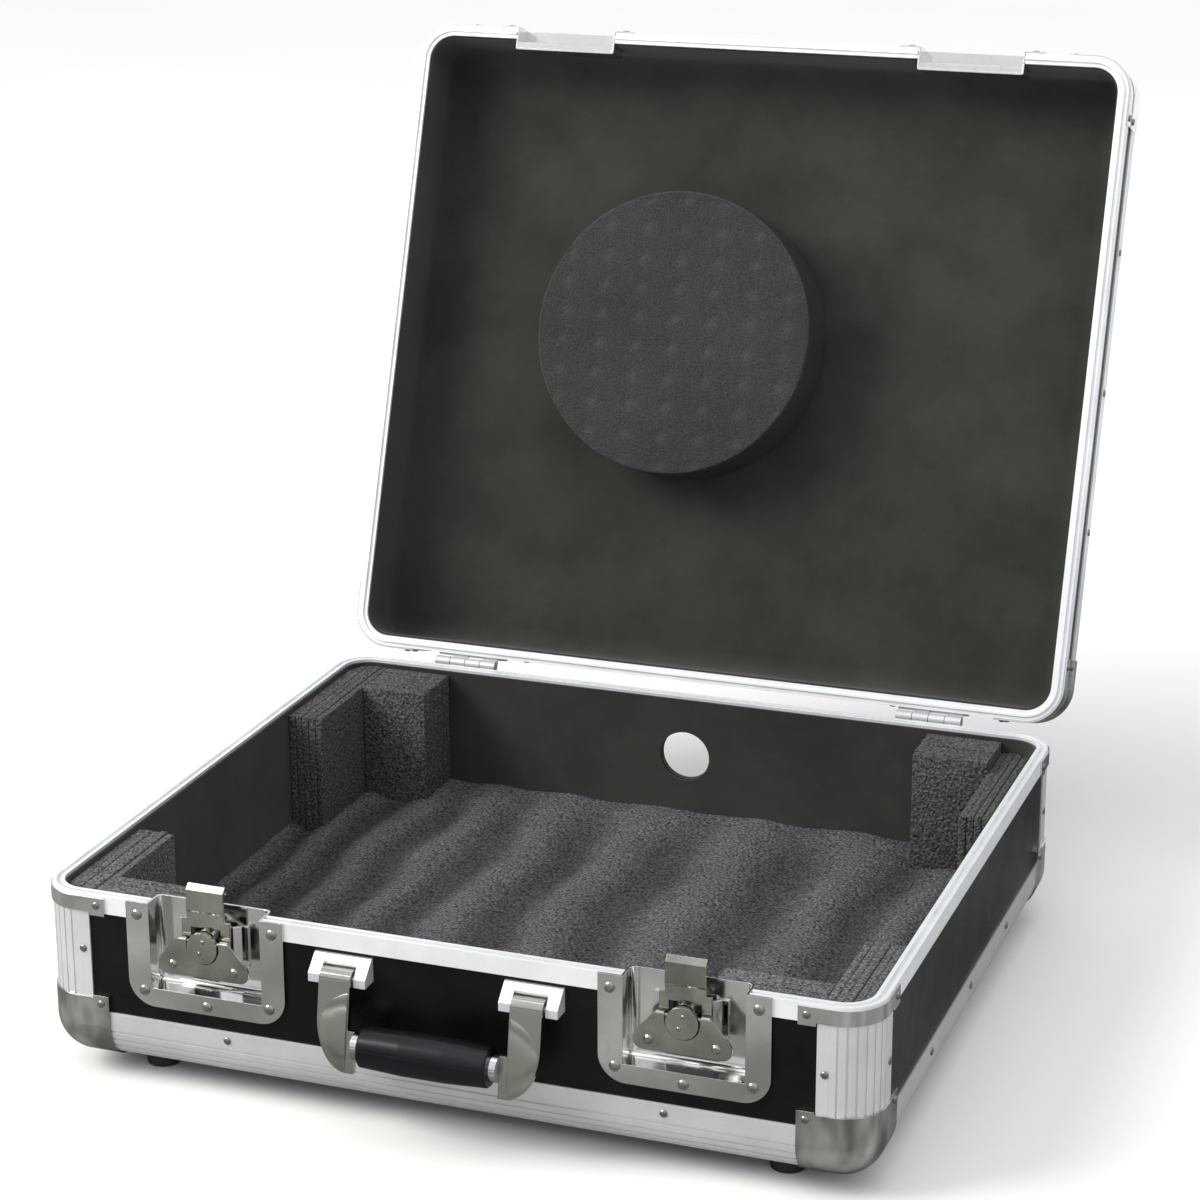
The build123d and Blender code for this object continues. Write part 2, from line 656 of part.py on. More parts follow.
def handle_bracket():
    """A wedge-shaped wall bracket: a back plate, two cheeks that hold the pivot pin, and a sloping lip."""
    top = RIM_Z - BRACKET_TOP
    shoulder = RIM_Z - BRACKET_SHOULDER
    low = RIM_Z - BRACKET_BOTTOM
    proud = FRONT - BRACKET_PROUD
    face = FRONT + SKIN
    points = [(face, low), (face, top), (FRONT - 1, top), (proud, shoulder), (proud, low)]
    x0 = ARM_X - BRACKET_WIDTH / 2
    x1 = ARM_X + BRACKET_WIDTH / 2
    solid = prism_x(points, x0, x1)
    room = ARM_WIDTH / 2 + BRACKET_GAP
    back = FRONT - BRACKET_BACK
    solid -= block(ARM_X - room, ARM_X + room, proud - 1, back, low - 1, top + 1)
    edge = bracket_slope(BRACKET_LIP)
    lip = [(back, top), (FRONT - 1, top), (FRONT - BRACKET_LIP, edge)]
    lip += [(FRONT - BRACKET_LIP, edge - BRACKET_LIP_SHEET), (back, top - 2 * BRACKET_LIP_SHEET)]
    solid += prism_x(lip, ARM_X - room, ARM_X + room)
    pin_z = RIM_Z - PIVOT_DROP
    return solid - rod_x(PIVOT_RADIUS, x0 + BRACKET_WALL, x1 - BRACKET_WALL, FRONT - PIVOT_DEPTH, pin_z)


def handle_grip():
    """A round grip between the arms, slightly thicker in its middle third."""
    half = ARM_LOBE_X - FERRULE_LENGTH
    end = GRIP_RADIUS
    middle = GRIP_RADIUS + GRIP_CROWN
    points = [(-half, CORE_RADIUS), (-half, end - 1), (1 - half, end), (-half / 3, middle)]
    points += [(half / 3, middle), (half - 1, end), (half, end - 1), (half, CORE_RADIUS)]
    solid = revolve(make_face(Polyline(points, close=True)), Axis.X)
    return Pos(0, FRONT - GRIP_DEPTH, RIM_Z - GRIP_DROP) * solid


def barrel(x0, x1):
    return rod_x(BARREL_RADIUS, x0, x1, HINGE_Y, HINGE_Z)


def hinge_spans():
    """The X ranges of the knuckles: base, lid, base, lid, about the hinge's middle."""
    starts = [HINGE_WIDTH * (k / 4 - 1 / 2) for k in range(4)]
    return [(start + KNUCKLE_GAP / 2, start + HINGE_WIDTH / 4 - KNUCKLE_GAP / 2) for start in starts]


def base_leaf():
    x0 = HINGE_WIDTH / -2
    leaf = block(x0, -x0, HALF_D, HALF_D + HINGE_LEAF, HINGE_Z - BASE_LEAF_LENGTH, HINGE_Z - BARREL_RADIUS)
    for a, b in hinge_spans()[0::2]:
        leaf += barrel(a, b)
        leaf += block(a, b, HALF_D, HINGE_Y, HINGE_Z - BARREL_RADIUS, HINGE_Z - BARREL_RADIUS + HINGE_LEAF)
    return leaf - rod_x(HINGE_PIN_RADIUS, -HINGE_WIDTH, HINGE_WIDTH, HINGE_Y, HINGE_Z)


def lid_leaf():
    """Drawn closed, with the stop heels that meet the base leaf when the lid is open."""
    x0 = HINGE_WIDTH / -2
    leaf = block(x0, -x0, HALF_D, HALF_D + HINGE_LEAF, HINGE_Z + BARREL_RADIUS, HINGE_Z + LID_LEAF_LENGTH)
    front = -HINGE_OFFSET + HINGE_LEAF + FIT
    heel = block(-HINGE_WIDTH, HINGE_WIDTH, front, -1, -BARREL_RADIUS - STOP_LENGTH, -1)
    heel = Pos(0, HINGE_Y, HINGE_Z) * Rot(LID_OPEN_DEG, 0, 0) * heel
    for a, b in hinge_spans()[1::2]:
        leaf += barrel(a, b)
        leaf += block(a, b, HALF_D, HINGE_Y, HINGE_Z + BARREL_RADIUS - HINGE_LEAF, HINGE_Z + BARREL_RADIUS)
        leaf += heel & block(a, b, -FAR, FAR, -FAR, FAR)
    bore = HINGE_PIN_RADIUS + RUNNING_FIT
    return leaf - rod_x(bore, -HINGE_WIDTH, HINGE_WIDTH, HINGE_Y, HINGE_Z)


def both(shape, x):
    """The shape at plus and minus x, not mirrored."""
    return joined([Pos(-x, 0, 0) * shape, Pos(x, 0, 0) * shape])


def on_front(shape, x):
    """Moves a latch piece from its own frame to the front face at the rim."""
    return Pos(x, FRONT, RIM_Z) * shape


def build():
    parts = {}
    lift = Pos(0, 0, FLOOR_Z)

    # Base shell
    half = half_case(BASE_HEIGHT, OPENING_DROP, -1, False)
    cable = rod_y(CABLE_RADIUS, 0, FAR, 0, CABLE_HEIGHT)
    half["walls"]["back"] -= cable
    half["lining"] -= cable
    for side, panel in half["walls"].items():
        parts[f"base_{side}_panel"] = lift * panel
    parts["base_bottom_panel"] = lift * half["flat"]
    for side, bar in half["bars"].items():
        parts[f"base_{side}_edge"] = lift * bar
    parts["base_rim_lengths"] = lift * joined(half["rim"].values())
    parts["base_rim_corners"] = lift * half["rim_corners"]
    parts["base_corner_posts"] = lift * half["posts"]
    parts["base_ball_corners"] = lift * half["caps"]
    parts["base_rim_braces"] = lift * half["braces"]
    parts["base_lining"] = lift * half["lining"]

    # Foam in the base
    parts["floor_foam"] = floor_foam()
    half_notch = OPENING_HALF + DISH_ROOM
    room = block(-half_notch, half_notch, -FAR, FRONT + DISH_DEPTH + DISH_ROOM, FOAM_Z, RIM_Z)
    notches = both(room, LATCH_X)
    for sx, side in ((-1, "left"), (1, "right")):
        run, drop = BACK_SIDE_LENGTHS[side], BACK_SIDE_DROPS[side]
        parts[f"foam_corner_back_{side}"] = foam_l(sx, 1, BACK_BLOCK_LENGTH, BACK_BLOCK_THICK, run, drop)
        front_l = foam_l(sx, -1, FRONT_BLOCK_LENGTH, FRONT_BLOCK_THICK, FRONT_SIDE_LENGTHS[side], 0)
        parts[f"foam_corner_front_{side}"] = front_l - notches

    # Feet, which stand on the bottom panel inside the edge bars
    foot_top = FLOOR_Z + SKIN
    foot = Pos(0, 0, foot_top / 2) * Cone(FOOT_BOTTOM_RADIUS, FOOT_TOP_RADIUS, foot_top)
    foot -= Pos(0, 0, FOOT_BORE_DEPTH / 2) * Cylinder(FOOT_BORE_RADIUS, FOOT_BORE_DEPTH)
    screw_z = FOOT_BORE_DEPTH - SCREW_HEAD_HEIGHT / 2
    screw = Pos(0, 0, screw_z) * Cylinder(SCREW_HEAD_RADIUS, SCREW_HEAD_HEIGHT)
    foot_x = HALF_W - FOOT_INSET_X
    foot_y = HALF_D - FOOT_INSET_Y
    corners = [(sx * foot_x, sy * foot_y) for sx in (-1, 1) for sy in (-1, 1)]
    parts["feet"] = joined([Pos(x, y, 0) * foot for x, y in corners])
    parts["foot_screws"] = joined([Pos(x, y, 0) * screw for x, y in corners])

    # Latches
    rest = Pos(0, -STROKE_OUT, STROKE_UP)
    for x, side in ((-LATCH_X, "left"), (LATCH_X, "right")):
        parts[f"latch_dish_{side}"] = on_front(latch_dish(), x)
        parts[f"latch_bridge_{side}"] = on_front(latch_bridge(), x)
        parts[f"latch_spindle_{side}"] = on_front(latch_spindle(), x)
        parts[f"latch_wing_{side}"] = on_front(latch_wing(), x)
        parts[f"latch_hook_{side}"] = on_front(rest * latch_hook(), x)

    # Handle, which hangs a little way out from the case
    bracket = handle_bracket()
    pivot_y = FRONT - PIVOT_DEPTH
    pivot_z = RIM_Z - PIVOT_DROP
    pin_half = BRACKET_WIDTH / 2 - BRACKET_WALL
    pin = rod_x(PIVOT_RADIUS, ARM_X - pin_half, ARM_X + pin_half, pivot_y, pivot_z)
    parts["handle_brackets"] = joined([bracket, mirrored(bracket)])
    parts["handle_pins"] = joined([pin, mirrored(pin)])
    grip_y = FRONT - GRIP_DEPTH
    grip_z = RIM_Z - GRIP_DROP
    ferrule = rod_x(FERRULE_RADIUS, ARM_LOBE_X - FERRULE_LENGTH, ARM_LOBE_X, grip_y, grip_z)
    ferrule -= rod_x(CORE_RADIUS, 0, ARM_X, grip_y, grip_z)
    arm = handle_arm()
    lean = Pos(0, pivot_y, pivot_z) * Rot(-HANDLE_LEAN_DEG, 0, 0) * Pos(0, -pivot_y, -pivot_z)
    parts["handle_arms"] = lean * joined([arm, mirrored(arm)])
    parts["handle_grip"] = lean * handle_grip()
    parts["handle_ferrules"] = lean * joined([ferrule, mirrored(ferrule)])
    parts["handle_core"] = lean * rod_x(CORE_RADIUS, -ARM_LOBE_X, ARM_LOBE_X, grip_y, grip_z)

    # Hinges
    parts["hinge_base_leaves"] = both(base_leaf(), HINGE_X)
    hinge_pin = rod_x(HINGE_PIN_RADIUS, -HINGE_WIDTH / 2, HINGE_WIDTH / 2, HINGE_Y, HINGE_Z)
    parts["hinge_pins"] = both(hinge_pin, HINGE_X)

    # Lid, drawn closed
    half = half_case(LID_HEIGHT, KEEPER_RECESS, 1, True)
    turn = Pos(0, 0, LID_RIM_Z + LID_HEIGHT) * Rot(180, 0, 0)
    lid = {}
    swap = {"front": "back", "back": "front", "left": "left", "right": "right"}
    for side, panel in half["walls"].items():
        lid[f"lid_{swap[side]}_panel"] = turn * panel
    lid["lid_top_panel"] = turn * half["flat"]
    lid["lid_edges"] = turn * joined(half["bars"].values())
    lid["lid_rim_lengths"] = turn * joined(half["rim"].values())
    lid["lid_rim_corners"] = turn * half["rim_corners"]
    lid["lid_corner_posts"] = turn * half["posts"]
    lid["lid_ball_corners"] = turn * half["caps"]
    lid["lid_rim_braces"] = turn * half["braces"]
    lid["lid_lining"] = turn * half["lining"]
    pad_top = LID_RIM_Z + LID_HEIGHT - WALL - LINING
    pad_low = LID_RIM_Z + PAD_FACE_DROP
    pad = Pos(PAD_X, PAD_Y, (pad_top + pad_low) / 2) * Cylinder(PAD_RADIUS, pad_top - pad_low)
    lid["lid_foam_pad"] = pad
    for x, side in ((-LATCH_X, "left"), (LATCH_X, "right")):
        lid[f"keeper_{side}"] = Pos(x, FRONT, LID_RIM_Z) * keeper()
    lid["hinge_lid_leaves"] = both(lid_leaf(), HINGE_X)

    swing = Pos(0, HINGE_Y, HINGE_Z) * Rot(-LID_OPEN_DEG, 0, 0) * Pos(0, -HINGE_Y, -HINGE_Z)
    for name, shape in lid.items():
        parts[name] = swing * shape
    return parts


def centre_y(parts):
    """The middle of the open case from front to back, where the origin goes."""
    boxes = [shape.bounding_box() for shape in parts.values()]
    return (min(b.min.Y for b in boxes) + max(b.max.Y for b in boxes)) / 2


def main():
    parts = build()
    shift = Pos(0, -centre_y(parts), 0)
    os.makedirs("parts", exist_ok=True)
    for name, shape in parts.items():
        export_step(shift * shape, f"parts/{name}.step")
    print("nodes", len(parts), "centre", round(centre_y(parts), 3))


main()
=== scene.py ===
"""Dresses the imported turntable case: materials, foam, lining, rivets, a plain studio and the camera."""

import math
import random

import bmesh
import bpy
from mathutils import Matrix, Vector, noise


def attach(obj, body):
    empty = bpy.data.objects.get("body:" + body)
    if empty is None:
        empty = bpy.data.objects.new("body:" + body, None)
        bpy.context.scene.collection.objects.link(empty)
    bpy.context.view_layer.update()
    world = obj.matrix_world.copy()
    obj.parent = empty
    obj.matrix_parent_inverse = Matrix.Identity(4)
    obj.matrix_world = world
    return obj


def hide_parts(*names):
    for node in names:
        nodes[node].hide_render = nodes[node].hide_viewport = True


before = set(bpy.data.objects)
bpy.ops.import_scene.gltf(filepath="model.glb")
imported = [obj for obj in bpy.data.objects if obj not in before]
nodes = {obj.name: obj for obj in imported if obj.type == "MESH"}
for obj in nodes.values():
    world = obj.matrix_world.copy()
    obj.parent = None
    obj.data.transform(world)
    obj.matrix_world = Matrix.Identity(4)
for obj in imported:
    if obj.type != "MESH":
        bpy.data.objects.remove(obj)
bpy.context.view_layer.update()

MM = 0.001


def middle(name, axis):
    """The middle of a node's extent along an axis, in millimetres."""
    values = [vertex.co[axis] for vertex in nodes[name].data.vertices]
    return (min(values) + max(values)) / 2 / MM


# Sizes of the case in millimetres, with X and Y from the middle of its base and Z from the floor
BASE_Y = middle("base_bottom_panel", 1)
LATCH_X = middle("latch_dish_right", 0)
HALF_W = 260.0
HALF_D = 227.0
CORNER_RADIUS = 25.0
EDGE_RADIUS = 24.0
WALL = 7.4
FOOT_HEIGHT = 12.0
BASE_HEIGHT = 110.0
LID_HEIGHT = 60.0
RIM_GAP = 0.4
RIM_Z = FOOT_HEIGHT + BASE_HEIGHT
LID_RIM_Z = RIM_Z + RIM_GAP
HINGE_OUT = 6.0
HINGE_Y = HALF_D + HINGE_OUT
HINGE_Z = RIM_Z + RIM_GAP / 2
LID_OPEN = math.radians(109.5)

# Lining and floor foam
LINING = 1.5
LINING_DROP = 2.0
LINING_ROUND = EDGE_RADIUS - WALL - LINING
FIT = 0.3
FOAM_INSET = WALL + LINING + FIT
FOAM_THICK = 18.0
FOAM_CREST = FOOT_HEIGHT + WALL + LINING + FOAM_THICK
WAVE_DEPTH = 5.5
LUMP = 0.7

# Latches, keepers and the cable hole
LATCH_HALF = 51.25
LATCH_FLANGE = 15.0
OPENING_HALF = LATCH_HALF - LATCH_FLANGE
OPENING_DROP = 54.5
KEEPER_RECESS = 18.0
DISH_DEPTH = 14.0
SHEET = 1.2
CABLE_RADIUS = 18.0
CABLE_Z = 78.0

ARC_STEPS = 8
ROUND_SEGMENTS = 48

# From the sizes above to the model's frame, for what belongs to the base and to the open lid
TO_MODEL = Matrix.Translation((0, BASE_Y * MM, 0)) @ Matrix.Scale(MM, 4)
HINGE = Vector((0, HINGE_Y, HINGE_Z))
SWING = Matrix.Translation(HINGE) @ Matrix.Rotation(-LID_OPEN, 4, "X") @ Matrix.Translation(-HINGE)
LID_TO_MODEL = TO_MODEL @ SWING


# Materials, with their sizes and relief in metres

WHITE = (1.0, 1.0, 1.0)

# Most of a noise texture's values lie between these two
NOISE_LOW, NOISE_HIGH = 0.3, 0.7

# Sockets of a mix node that mixes colours
MIX_FIRST, MIX_SECOND, MIX_RESULT = 6, 7, 2


def grey(level):
    return (level, level, level)


def new_material(name, color, roughness, metallic=0.0):
    """A plain material, with its node tree and its shader."""
    material = bpy.data.materials.new(name)
    material.use_nodes = True
    shader = material.node_tree.nodes["Principled BSDF"]
    shader.inputs["Base Color"].default_value = (*color, 1.0)
    shader.inputs["Roughness"].default_value = roughness
    shader.inputs["Metallic"].default_value = metallic
    return material, material.node_tree, shader


def place(tree, size=(1.0, 1.0, 1.0), tilt=0.0):
    """Object coordinates, measured in a feature size along each axis and tilted about X."""
    source = tree.nodes.new("ShaderNodeTexCoord")
    mapping = tree.nodes.new("ShaderNodeMapping")
    mapping.vector_type = "TEXTURE"
    mapping.inputs["Rotation"].default_value = (tilt, 0.0, 0.0)
    mapping.inputs["Scale"].default_value = size
    tree.links.new(source.outputs["Object"], mapping.inputs["Vector"])
    return mapping.outputs["Vector"]


def clouds(tree, vector, scale, detail, roughness=0.5):
    """Smooth noise."""
    node = tree.nodes.new("ShaderNodeTexNoise")
    node.inputs["Scale"].default_value = scale
    node.inputs["Detail"].default_value = detail
    node.inputs["Roughness"].default_value = roughness
    tree.links.new(vector, node.inputs["Vector"])
    return node.outputs["Fac"]


def cells(tree, vector, scale):
    """The distance to the nearest of many scattered points."""
    node = tree.nodes.new("ShaderNodeTexVoronoi")
    node.inputs["Scale"].default_value = scale
    tree.links.new(vector, node.inputs["Vector"])
    return node.outputs["Distance"]


def ramp(tree, value, low, high, start=NOISE_LOW, end=NOISE_HIGH):
    """Maps a value to a colour between two colours."""
    node = tree.nodes.new("ShaderNodeValToRGB")
    first, last = node.color_ramp.elements
    first.position, last.position = start, end
    first.color, last.color = (*low, 1.0), (*high, 1.0)
    tree.links.new(value, node.inputs["Fac"])
    return node.outputs["Color"]


def spread(tree, value, low, high):
    """Maps a noise value to a number between two numbers."""
    node = tree.nodes.new("ShaderNodeMapRange")
    node.inputs["From Min"].default_value = NOISE_LOW
    node.inputs["From Max"].default_value = NOISE_HIGH
    node.inputs["To Min"].default_value = low
    node.inputs["To Max"].default_value = high
    tree.links.new(value, node.inputs["Value"])
    return node.outputs["Result"]


def multiply(tree, first, second):
    """One colour darkened by another."""
    node = tree.nodes.new("ShaderNodeMix")
    node.data_type = "RGBA"
    node.blend_type = "MULTIPLY"
    node.inputs["Factor"].default_value = 1.0
    tree.links.new(first, node.inputs[MIX_FIRST])
    tree.links.new(second, node.inputs[MIX_SECOND])
    return node.outputs[MIX_RESULT]


def bump(tree, shader, height, distance, strength, before=None):
    """Adds relief, on top of an earlier normal where one is given."""
    node = tree.nodes.new("ShaderNodeBump")
    node.inputs["Strength"].default_value = strength
    node.inputs["Distance"].default_value = distance
    tree.links.new(height, node.inputs["Height"])
    if before is not None:
        tree.links.new(before, node.inputs["Normal"])
    tree.links.new(node.outputs["Normal"], shader.inputs["Normal"])
    return node.outputs["Normal"]


def soft_edges(tree, radius):
    """A normal that rounds the edges of a piece."""
    node = tree.nodes.new("ShaderNodeBevel")
    node.samples = 4
    node.inputs["Radius"].default_value = radius
    return node.outputs["Normal"]


def satin_metal(name, stretch, tilt=0.0, color=(0.78, 0.79, 0.8), metallic=0.5):
    """Satin metal, with fine streaks along its length and faint handling marks."""
    material, tree, shader = new_material(name, color, roughness=0.4, metallic=metallic)
    streaks = clouds(tree, place(tree, stretch, tilt), scale=1.0, detail=4.0, roughness=0.6)
    stains = clouds(tree, place(tree), scale=28.0, detail=4.0)
    stained = [channel * 0.9 for channel in color]
    tint = ramp(tree, stains, stained, color, start=0.35, end=0.6)
    grain = ramp(tree, streaks, grey(0.93), WHITE)
    tree.links.new(multiply(tree, tint, grain), shader.inputs["Base Color"])
    tree.links.new(spread(tree, stains, 0.46, 0.34), shader.inputs["Roughness"])
    bump(tree, shader, streaks, distance=0.00006, strength=0.6, before=soft_edges(tree, 0.0004))
    return material


def chrome_plate(name, color, roughness=0.1, dark=0.86, size=(1.0, 1.0, 1.0), detail=5.0):
    """Bright plating with smudge marks, which a size can stretch into streaks, and hairline scratches; on the
    ball corners the marks are made dark and broad, as painted reflections.
    """
    material, tree, shader = new_material(name, color, roughness, metallic=1.0)
    # Smudge marks, which on the ball corners paint broad dark reflections into the colour
    smudges_and_painted_reflections = clouds(tree, place(tree, size), scale=34.0, detail=detail, roughness=0.6)
    hairs = clouds(tree, place(tree, (0.02, 0.0006, 0.0009)), scale=1.0, detail=2.0)
    smudge_and_reflection_tone = [channel * dark for channel in color]
    tint = ramp(tree, smudges_and_painted_reflections, smudge_and_reflection_tone, color, start=0.35, end=0.65)
    tree.links.new(tint, shader.inputs["Base Color"])
    tree.links.new(spread(tree, smudges_and_painted_reflections, roughness * 1.9, roughness * 0.7), shader.inputs["Roughness"])
    first = bump(tree, shader, smudges_and_painted_reflections, distance=0.0004, strength=0.25, before=soft_edges(tree, 0.0005))
    bump(tree, shader, hairs, distance=0.00002, strength=0.4, before=first)
    return material


def laminate():
    """Black plastic film on plywood, with a fine pebble and dull scuffs."""
    material, tree, shader = new_material("black_laminate", (0.005, 0.006, 0.005), roughness=0.3)
    vector = place(tree)
    scuffs = clouds(tree, vector, scale=22.0, detail=6.0, roughness=0.65)
    pebble = cells(tree, vector, scale=900.0)
    tint = ramp(tree, scuffs, (0.0022, 0.003, 0.0022), (0.006, 0.0075, 0.006), end=0.8)
    tree.links.new(tint, shader.inputs["Base Color"])
    shader.inputs["Specular IOR Level"].default_value = 0.22
    tree.links.new(spread(tree, scuffs, 0.24, 0.4), shader.inputs["Roughness"])
    bump(tree, shader, pebble, distance=0.00008, strength=0.5)
    return material


# The colour attribute that paints a piece of foam: painted light in its dimples, and a paler edge and side
DIMPLE_LIGHT_AND_PALE_EDGE = "dimple_light_and_pale_edge"


def foam(name, dark, light, cell, relief, valley_shade=None, dimple_light_and_pale_edge=False):
    """Open-celled foam: a speckle of pores, slow changes of tone, painted shade in its valleys, and painted
    light on dimples, with a paler edge and side, from a colour attribute.
    """
    material, tree, shader = new_material(name, light, roughness=0.95)
    vector = place(tree)
    pores = clouds(tree, vector, scale=1.0 / cell, detail=3.0, roughness=0.7)
    holes = cells(tree, vector, scale=0.7 / cell)
    tone = clouds(tree, vector, scale=16.0, detail=4.0)
    speckle = ramp(tree, pores, dark, light, start=0.34, end=0.66)
    patches = ramp(tree, tone, grey(0.82), WHITE)
    color = multiply(tree, speckle, patches)
    # Painted shade: the foam is darkened towards the bottom of its valleys, where the waves would shade it
    if valley_shade is not None:
        split = tree.nodes.new("ShaderNodeSeparateXYZ")
        tree.links.new(vector, split.inputs["Vector"])
        rise = tree.nodes.new("ShaderNodeMapRange")
        rise.inputs["From Min"].default_value, rise.inputs["From Max"].default_value = valley_shade
        tree.links.new(split.outputs["Z"], rise.inputs["Value"])
        shadow = ramp(tree, rise.outputs["Result"], (0.5, 0.49, 0.48), WHITE, start=0.0, end=0.9)
        color = multiply(tree, color, shadow)
    # Painted light: the attribute leaves the dimples paler than the face, standing in for how light falls
    # into them; the edge and side are paler too
    if dimple_light_and_pale_edge:
        marks = tree.nodes.new("ShaderNodeAttribute")
        marks.attribute_name = DIMPLE_LIGHT_AND_PALE_EDGE
        pale = ramp(tree, marks.outputs["Fac"], grey(0.66), WHITE, start=0.0, end=1.0)
        color = multiply(tree, color, pale)
    tree.links.new(color, shader.inputs["Base Color"])
    shader.inputs["Specular IOR Level"].default_value = 0.2
    first = bump(tree, shader, pores, distance=relief, strength=0.8)
    bump(tree, shader, holes, distance=relief * 1.5, strength=0.7, before=first)
    return material


def foam_cloth():
    """The thin lining, with a short nap and patches where it has been rubbed or creased."""
    low, high = (0.02, 0.022, 0.018), (0.036, 0.039, 0.033)
    material, tree, shader = new_material("lining_cloth", high, roughness=0.92)
    vector = place(tree)
    nap = clouds(tree, vector, scale=1100.0, detail=2.0, roughness=0.6)
    rubbed = clouds(tree, vector, scale=14.0, detail=7.0, roughness=0.62)
    creases = clouds(tree, place(tree, (1.0, 1.0, 0.35)), scale=9.0, detail=3.0)
    patches = ramp(tree, rubbed, low, high, start=0.34, end=0.64)
    grain = ramp(tree, nap, grey(0.84), WHITE)
    tree.links.new(multiply(tree, patches, grain), shader.inputs["Base Color"])
    shader.inputs["Specular IOR Level"].default_value = 0.25
    shader.inputs["Sheen Weight"].default_value = 0.12
    shader.inputs["Sheen Roughness"].default_value = 0.6
    first = bump(tree, shader, nap, distance=0.00025, strength=0.7)
    second = bump(tree, shader, rubbed, distance=0.0009, strength=0.4, before=first)
    bump(tree, shader, creases, distance=0.004, strength=0.35, before=second)
    return material


def rubber():
    """Dusty black rubber."""
    material, tree, shader = new_material("foot_rubber", (0.014, 0.014, 0.013), roughness=0.7)
    grain = clouds(tree, place(tree), scale=700.0, detail=3.0)
    dust = clouds(tree, place(tree), scale=60.0, detail=4.0)
    tree.links.new(ramp(tree, dust, grey(0.01), (0.03, 0.03, 0.028)), shader.inputs["Base Color"])
    bump(tree, shader, grain, distance=0.00012, strength=0.6, before=soft_edges(tree, 0.0006))
    return material


def moulded_grip():
    """Glossy moulded plastic with faint flow marks."""
    material, tree, shader = new_material("grip_plastic", (0.008, 0.01, 0.013), roughness=0.2)
    marks = clouds(tree, place(tree, (0.09, 0.012, 0.012)), scale=1.0, detail=4.0)
    grain = clouds(tree, place(tree), scale=420.0, detail=2.0)
    tint = ramp(tree, marks, (0.003, 0.0035, 0.0045), (0.008, 0.0095, 0.013))
    tree.links.new(tint, shader.inputs["Base Color"])
    tree.links.new(spread(tree, marks, 0.16, 0.3), shader.inputs["Roughness"])
    shader.inputs["Specular IOR Level"].default_value = 0.25
    bump(tree, shader, grain, distance=0.00005, strength=0.5)
    return material


# How far the metal's grain runs along and across a drawn length, and in a bent or pressed piece
LONG, FINE = 0.5, 0.0012
ALONG_X = (LONG, FINE, FINE)
ALONG_Y = (FINE, LONG, FINE)
ALONG_Z = (FINE, FINE, LONG)
EVEN = (0.02, 0.02, 0.02)
# How the ball corners' painted reflections are stretched
BALL_REFLECTION_STREAKS = (0.5, 0.5, 1.3)
LID_TILT = -LID_OPEN

drawn_x = satin_metal("aluminium_along_x", ALONG_X, color=(0.7, 0.71, 0.71))
drawn_y = satin_metal("aluminium_along_y", ALONG_Y, color=(0.7, 0.71, 0.72))
drawn_z = satin_metal("aluminium_posts", ALONG_Z)
drawn_rim = satin_metal("aluminium_rim", EVEN, color=(0.88, 0.9, 0.93), metallic=0.3)
lid_edge = satin_metal("aluminium_lid_edges", ALONG_X, LID_TILT)
lid_post = satin_metal("aluminium_lid_posts", ALONG_Z, LID_TILT)
bracket = satin_metal("bracket_plating", EVEN, color=(0.9, 0.92, 0.95), metallic=0.6)
hinge_steel = satin_metal("hinge_steel", EVEN, color=(0.62, 0.63, 0.65))

plating = chrome_plate("chrome_plating", (0.86, 0.86, 0.85))
bright = chrome_plate("chrome_bright", (0.82, 0.83, 0.83), roughness=0.07)
pressed = chrome_plate("chrome_pressed", (0.52, 0.52, 0.48), roughness=0.12)
# The ball corners' chrome has painted reflections: broad dark streaks in its colour
ball = chrome_plate(
    "chrome_corners", (0.92, 0.92, 0.9), roughness=0.05, dark=0.42, size=BALL_REFLECTION_STREAKS, detail=1.5
)
moving = chrome_plate("chrome_latch_parts", (0.56, 0.56, 0.51), roughness=0.09, dark=0.6)
steel = chrome_plate("plain_steel", (0.5, 0.5, 0.49), roughness=0.24)
# Painted reflection: the frame's rivets are darkened as if their chrome domes mirrored dark surroundings
rivet_steel_painted_dark = chrome_plate("rivet_steel_painted_dark", (0.36, 0.34, 0.31), roughness=0.22)
latch_rivet = chrome_plate("latch_rivets", (0.46, 0.44, 0.41))

panels = laminate()
cloth = foam_cloth()
feet_rubber = rubber()
grip_plastic = moulded_grip()

# The heights over which the floor foam's painted shade fades, from darkest in its valleys to none at its
# crests
VALLEY_SHADE = ((FOAM_CREST - WAVE_DEPTH) * MM, (FOAM_CREST - LUMP) * MM)
sheet_foam = foam(
    "foam_sheet", (0.012, 0.013, 0.015), (0.185, 0.193, 0.205), cell=0.0019, relief=0.0008, valley_shade=VALLEY_SHADE
)
block_foam = foam("foam_blocks", (0.014, 0.015, 0.013), (0.165, 0.17, 0.162), cell=0.0016, relief=0.001)
# Painted light: a paler copy of the block foam for the front blocks, whose tops catch more light
front_foam_painted_lighter = foam(
    "foam_blocks_front_painted_lighter", (0.02, 0.022, 0.022), (0.23, 0.24, 0.245), cell=0.0016, relief=0.001
)
pad_foam = foam(
    "foam_pad", (0.038, 0.043, 0.042), (0.082, 0.091, 0.089), cell=0.0011, relief=0.0005, dimple_light_and_pale_edge=True
)

